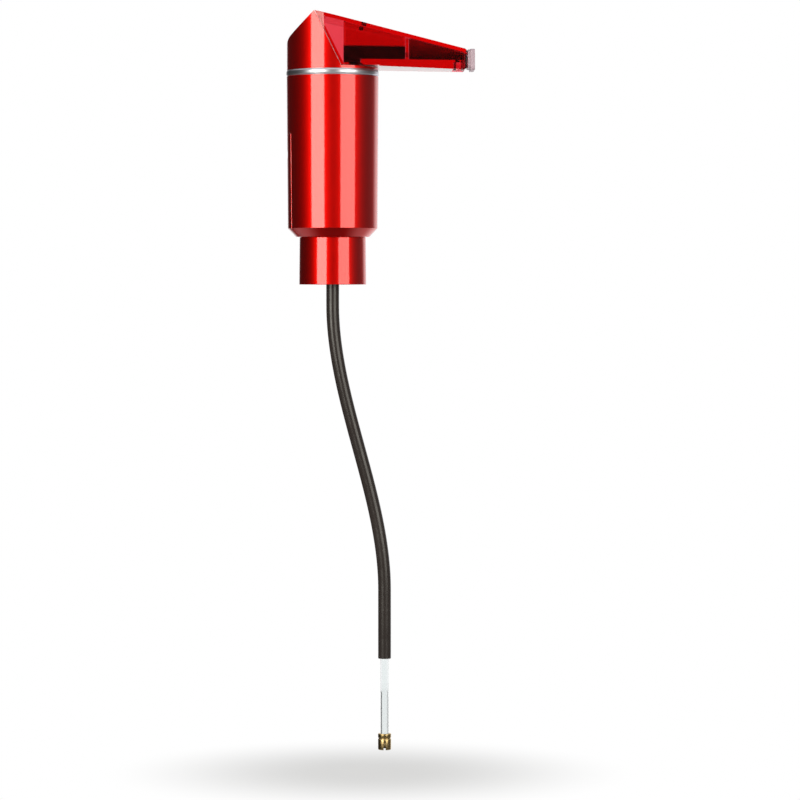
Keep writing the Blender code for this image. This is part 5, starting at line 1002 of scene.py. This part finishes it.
TRAY_SCREW_X, TRAY_SCREW_Y = 3.383, 8.5
for i, side in enumerate((-1, 1)):
    screw(f"collar_screw_{i + 1}", 5.1, 1.725, SCREWS[i])
    screw(f"tray_screw_{i + 1}", 61.1, 55.3, (TRAY_SCREW_X, TRAY_SCREW_Y * side))
    onto_slope(screw(f"board_screw_{i + 1}", -9.2, -5.6, (POST_X, POST_Y * side)))
print("screws made: 6")

# %% [markdown]
# ## The cells and their contacts
# Four slim cells stand head to tail. A cell is a steel can in a printed sleeve, and here the sleeve is
# plain, dark with a copper band at the positive end. Metal strips join the cells, and each flat end sits on
# a coil spring. A spring is a round wire along a spiral, so a curve with a bevel makes it.

# %% Make the cells
BACK_X, FRONT_X, CELL_Y, BAND_AT = -14.867, -4.167, 5.35, 34
FLAT_LOW, FLAT_HIGH = 12.5, 55.1   # where the flat end of a cell is, below or above
CELLS = [(BACK_X, -CELL_Y), (BACK_X, CELL_Y), (FRONT_X, CELL_Y), (FRONT_X, -CELL_Y)]
for i, place in enumerate(CELLS):
    flat, way = (FLAT_LOW, 1) if i % 2 == 0 else (FLAT_HIGH, -1)
    sleeve = [(4.6, 0), (5.05, 0), (5.25, 0.25), (5.25, BAND_AT), (5.25, 43.25), (5.05, 43.5), (4.6, 43.5),
              (4.6, 43.4), (5.0, 43.36), (5.13, 43.2), (5.13, 0.3), (5.0, 0.14), (4.6, 0.1)]
    can = [(0, 0.14), (3.2, 0.14), (3.4, 0.3), (4.4, 0.3), (4.6, 0.15), (4.95, 0.16), (5.1, 0.35),
           (5.1, 43.15), (4.9, 43.34), (4.4, 43.34), (4.2, 43.05), (3.2, 43.05), (3.0, 43.4), (2.7, 43.5),
           (2.7, 44.2), (2.4, 44.5), (0, 44.5)]
    sleeve, can = [[(r, flat + way * d) for r, d in profile] for profile in (sleeve, can)]
    wrapped = turned(f"cell_sleeve_{i + 1}", sleeve, 64, place)
    mount(wrapped, SLEEVE, "housing", "cell_sleeve", f"battery_{i + 1}")
    wrapped.data.materials.append(BAND)
    for face in wrapped.data.polygons:
        face.material_index = int((face.center.z / MM - flat) * way > BAND_AT)
    mount(turned(f"cell_can_{i + 1}", can, 64, place, False), STEEL, "housing", "steel")
print("cells made: 4")


# %% Make the contacts and springs
def wire(name, points, radius, steps=3):
    """A round wire along points, from a curve with a bevel and filled ends."""
    curve = bpy.data.curves.new(name, "CURVE")
    curve.dimensions = "3D"
    curve.bevel_depth, curve.bevel_resolution, curve.use_fill_caps = radius * MM, steps, True
    line = curve.splines.new("POLY")
    line.points.add(len(points) - 1)
    for spot, point in zip(line.points, points):
        spot.co = (*(Vector(point) * MM), 1)
    guide = placed("guide", curve)
    mesh = shown_mesh(guide)
    bpy.data.objects.remove(guide)
    return smoothed(name, mesh, 50)


SPRING_R, SPRING_TURNS, SPRING_WIRE = 3.0, 3.5, 0.2


def spring(name, place, foot, tip):
    """A cone-shaped coil from its wide foot to its narrow tip, with its end turns lying flat."""
    points = []
    for i in range(97):
        t = i / 96
        rise = min(max((t - 0.16) / 0.68, 0), 1)
        radius, angle = SPRING_R - t, 2 * pi * SPRING_TURNS * t
        points.append((place[0] + radius * cos(angle), place[1] + radius * sin(angle),
                       foot + (tip - foot) * rise))
    return mount(wire(name, points, SPRING_WIRE), STEEL, "housing", "steel")


STRIP_HALF, METAL, LOW_STRIP, HIGH_STRIP = 3.6, 0.4, 9.9, 57.3
STRIPS = [   # node, first and last cell it touches, low side, where its spring and its contact pip are
    ("contact_lower_back", CELLS[0], CELLS[1], LOW_STRIP, CELLS[0], CELLS[1]),
    ("contact_lower_front", CELLS[3], CELLS[2], LOW_STRIP, CELLS[2], CELLS[3]),
    ("contact_bridge", CELLS[1], CELLS[2], HIGH_STRIP, CELLS[1], CELLS[2]),
    ("contact_positive", CELLS[0], CELLS[0], HIGH_STRIP, None, CELLS[0]),
    ("contact_negative", CELLS[3], CELLS[3], HIGH_STRIP, CELLS[3], None),
]
for name, first, last, low, coil, pip in STRIPS:
    x, y = (first[0] - STRIP_HALF, last[0] + STRIP_HALF), (first[1] - STRIP_HALF, last[1] + STRIP_HALF)
    strip = block("fine_" + name, x, y, (low, low + METAL))
    face, way = (low + METAL, 1) if low == LOW_STRIP else (low, -1)
    if pip:
        dome = [(0, face - 0.2 * way), (1.6, face - 0.2 * way), (1.6, face), (1.2, face + 0.14 * way),
                (0.6, face + 0.2 * way), (0, face + 0.2 * way)]
        carve(strip, turned("pip", dome, 32, pip, False), how="UNION")
    mount(ease(strip, 0.08, 2), STEEL, "housing", "steel", name)
    if coil:
        spring("spring_on_" + name, coil, face + 0.2 * way, face + 1.7 * way)
print("contact strips made:", len(STRIPS))

# %% [markdown]
# ## The hoses and leads
# The air hoses and the four leads are round cords that follow the routes of the CAD. A smooth curve through
# a few points gives their line. They are fixed inside the housing, so they ride on it.

# %% Lay the hoses and leads
def smooth_route(points, steps=12):
    """A smooth curve through the points, with some steps between each two."""
    spots = [Vector(point) for point in points]
    spots = [spots[0] * 2 - spots[1]] + spots + [spots[-1] * 2 - spots[-2]]
    route = []
    for a, b, c, d in zip(spots, spots[1:], spots[2:], spots[3:]):
        for t in (i / steps for i in range(steps)):
            route.append((b * 2 + (c - a) * t + (a * 2 - b * 5 + c * 4 - d) * t ** 2
                          + (b * 3 - a - c * 3 + d) * t ** 3) / 2)
    return route + [spots[-2]]


straight = [(VENT_X, HOSE_Y, 8.6), (VENT_X, HOSE_Y, valve_low - GAP)]
lower = wire("fine_air_hose_lower", straight, HOSE_R, 10)
mount(lower, TUBING, "housing", "clear_tube", "air_hose_lower")
out_x, out_y, rise = 1.051, 9.8, PUMP_Z - valve_high
bend = [(VENT_X + (out_x - VENT_X) * across, HOSE_Y, valve_high + rise * up)
        for across, up in [(0, 0.60), (0.17, 0.74), (0.70, 0.87), (1, 0.96)]]
bend += [(out_x, 13.4, PUMP_Z - 0.4), (out_x, out_y + 1.6, PUMP_Z), (out_x, out_y, PUMP_Z)]
bend = [(VENT_X, HOSE_Y, valve_high + GAP)] + smooth_route(bend)
upper = wire("fine_air_hose_upper", bend, HOSE_R, 10)
mount(upper, TUBING, "housing", "clear_tube", "air_hose_upper")

STARTS = {"motor": Vector((MOTOR_X, 0, 60.8)), "holder": Vector((0.183, 0, 60.8)), "button": BUTTON_AT}
LEADS = {
    "motor_lead_red": [("motor", 9.7, -3.0, 5.8), ("motor", 10.9, -3.4, 6.4), ("motor", 11.1, -6.4, 11.2),
                       ("motor", 10.3, -10.0, 19.2), ("motor", 7.5, -10.4, 31.2),
                       ("button", 10.8, -10.0, -20.2), ("button", 6.8, -9.2, -14.2),
                       ("button", 4.25, -8.4, -10.3)],
    "motor_lead_black": [("motor", 9.7, 3.0, 5.8), ("motor", 11.7, 2.6, 6.4), ("motor", 13.5, 0.4, 11.2),
                         ("motor", 14.5, -5.0, 18.2), ("motor", 13.1, -11.0, 27.2),
                         ("button", 12.8, -12.2, -20.2), ("button", 8.0, -7.4, -14.2),
                         ("button", 4.25, -6.2, -10.3)],
    "battery_lead_red": [("holder", 0, -7.5, -3.0), ("holder", 0, -7.5, 3.2), ("motor", 12.1, -12.4, 13.2),
                         ("motor", 13.1, -15.0, 25.2), ("button", 12.8, -15.0, -20.2),
                         ("button", 6.8, -11.8, -13.8), ("button", 4.25, -10.5, -10.3)],
    "battery_lead_black": [("holder", 0, -4.5, -3.0), ("holder", 0, -4.5, 1.8), ("motor", 13.7, -5.6, 7.2),
                           ("motor", 15.7, -10.0, 17.2), ("motor", 16.1, -13.8, 27.2),
                           ("button", 16.2, -13.8, -20.2), ("button", 9.2, -5.0, -14.2),
                           ("button", 4.25, -4.0, -10.3)],
}
for name, stops in LEADS.items():
    colour = (RED_WIRE, "red_wire") if name.endswith("red") else (RUBBER, "black_rubber")
    route = smooth_route([STARTS[start] + Vector(step) for start, *step in stops])
    lead = wire("fine_" + name, route, LEAD_R)
    mount(lead, colour[0], "housing", colour[1], name)
print("hoses made: 2, leads made:", len(LEADS))

# %% [markdown]
# ## The moulded and cut pieces inside
# The cell holder, the tray, the manifold, the motor, the pump and the switch have the shape of the CAD
# already, but with knife-sharp edges. Their meshes are copied into new pieces, the triangles are joined back
# into whole faces, and the edges get the small radius that a mould or a press leaves.

# %% Round their edges
SOLID = {   # node: finish, body, slot, radius of its edges
    "battery_holder": (BLACK, "housing", "black_plastic", 0.25),
    "pump_tray": (BLACK, "housing", "black_plastic", 0.2),
    "fluid_manifold": (WHITE, "housing", "white_plastic", 0.3),
    "pump_motor": (STEEL, "housing", "motor_can", 0.25),
    "pump_housing": (WHITE, "housing", "white_plastic", 0.2),
    "pump_valve_cover": (WHITE, "housing", "white_plastic", 0.2),
    "pump_yoke": (WHITE, "pump_carriage", "white_plastic", 0.15),
    "pump_diaphragm": (RUBBER, "pump_carriage", "black_rubber", 0.3),
    "pump_eccentric": (BRASS, "rotor", "brass", 0.2),
    "switch_body": (BLACK, "housing", "black_plastic", 0.12),
    "switch_plunger": (WHITE, "button", "white_plastic", 0.2),
    "switch_board": (BOARD, "housing", "board", 0.08),
}
for name, (material, body, slot, radius) in SOLID.items():
    bm = bmesh.new()
    bm.from_mesh(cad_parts[name].data)
    bmesh.ops.remove_doubles(bm, verts=bm.verts, dist=1e-7)
    bmesh.ops.dissolve_limit(bm, angle_limit=radians(1), verts=bm.verts, edges=bm.edges)
    bmesh.ops.scale(bm, verts=bm.verts, vec=(1 / MM, 1 / MM, 1 / MM))
    piece = ease(into_scene("fine_" + name, bm), radius, 2, 50)
    mount(piece, material, body, slot, name)
print("pieces with rounded edges:", len(SOLID))

# %% [markdown]
# ## A flag for the right softbox
# The flat side of the spout would mirror the right softbox and turn milky. A photographer holds a black
# card, a flag, between the lamp and such a face. Light linking does the same: this lamp leaves the spout's
# pieces out.

# %% Keep the right softbox off the spout
shaded = bpy.data.collections.new("flagged from the right softbox")
right_box.light_linking.receiver_collection = shaded
for piece in (spout, base, inlet, outlet, baffle, nozzle):
    shaded.objects.link(piece)
for entry in shaded.collection_objects:
    entry.light_linking.link_state = "EXCLUDE"
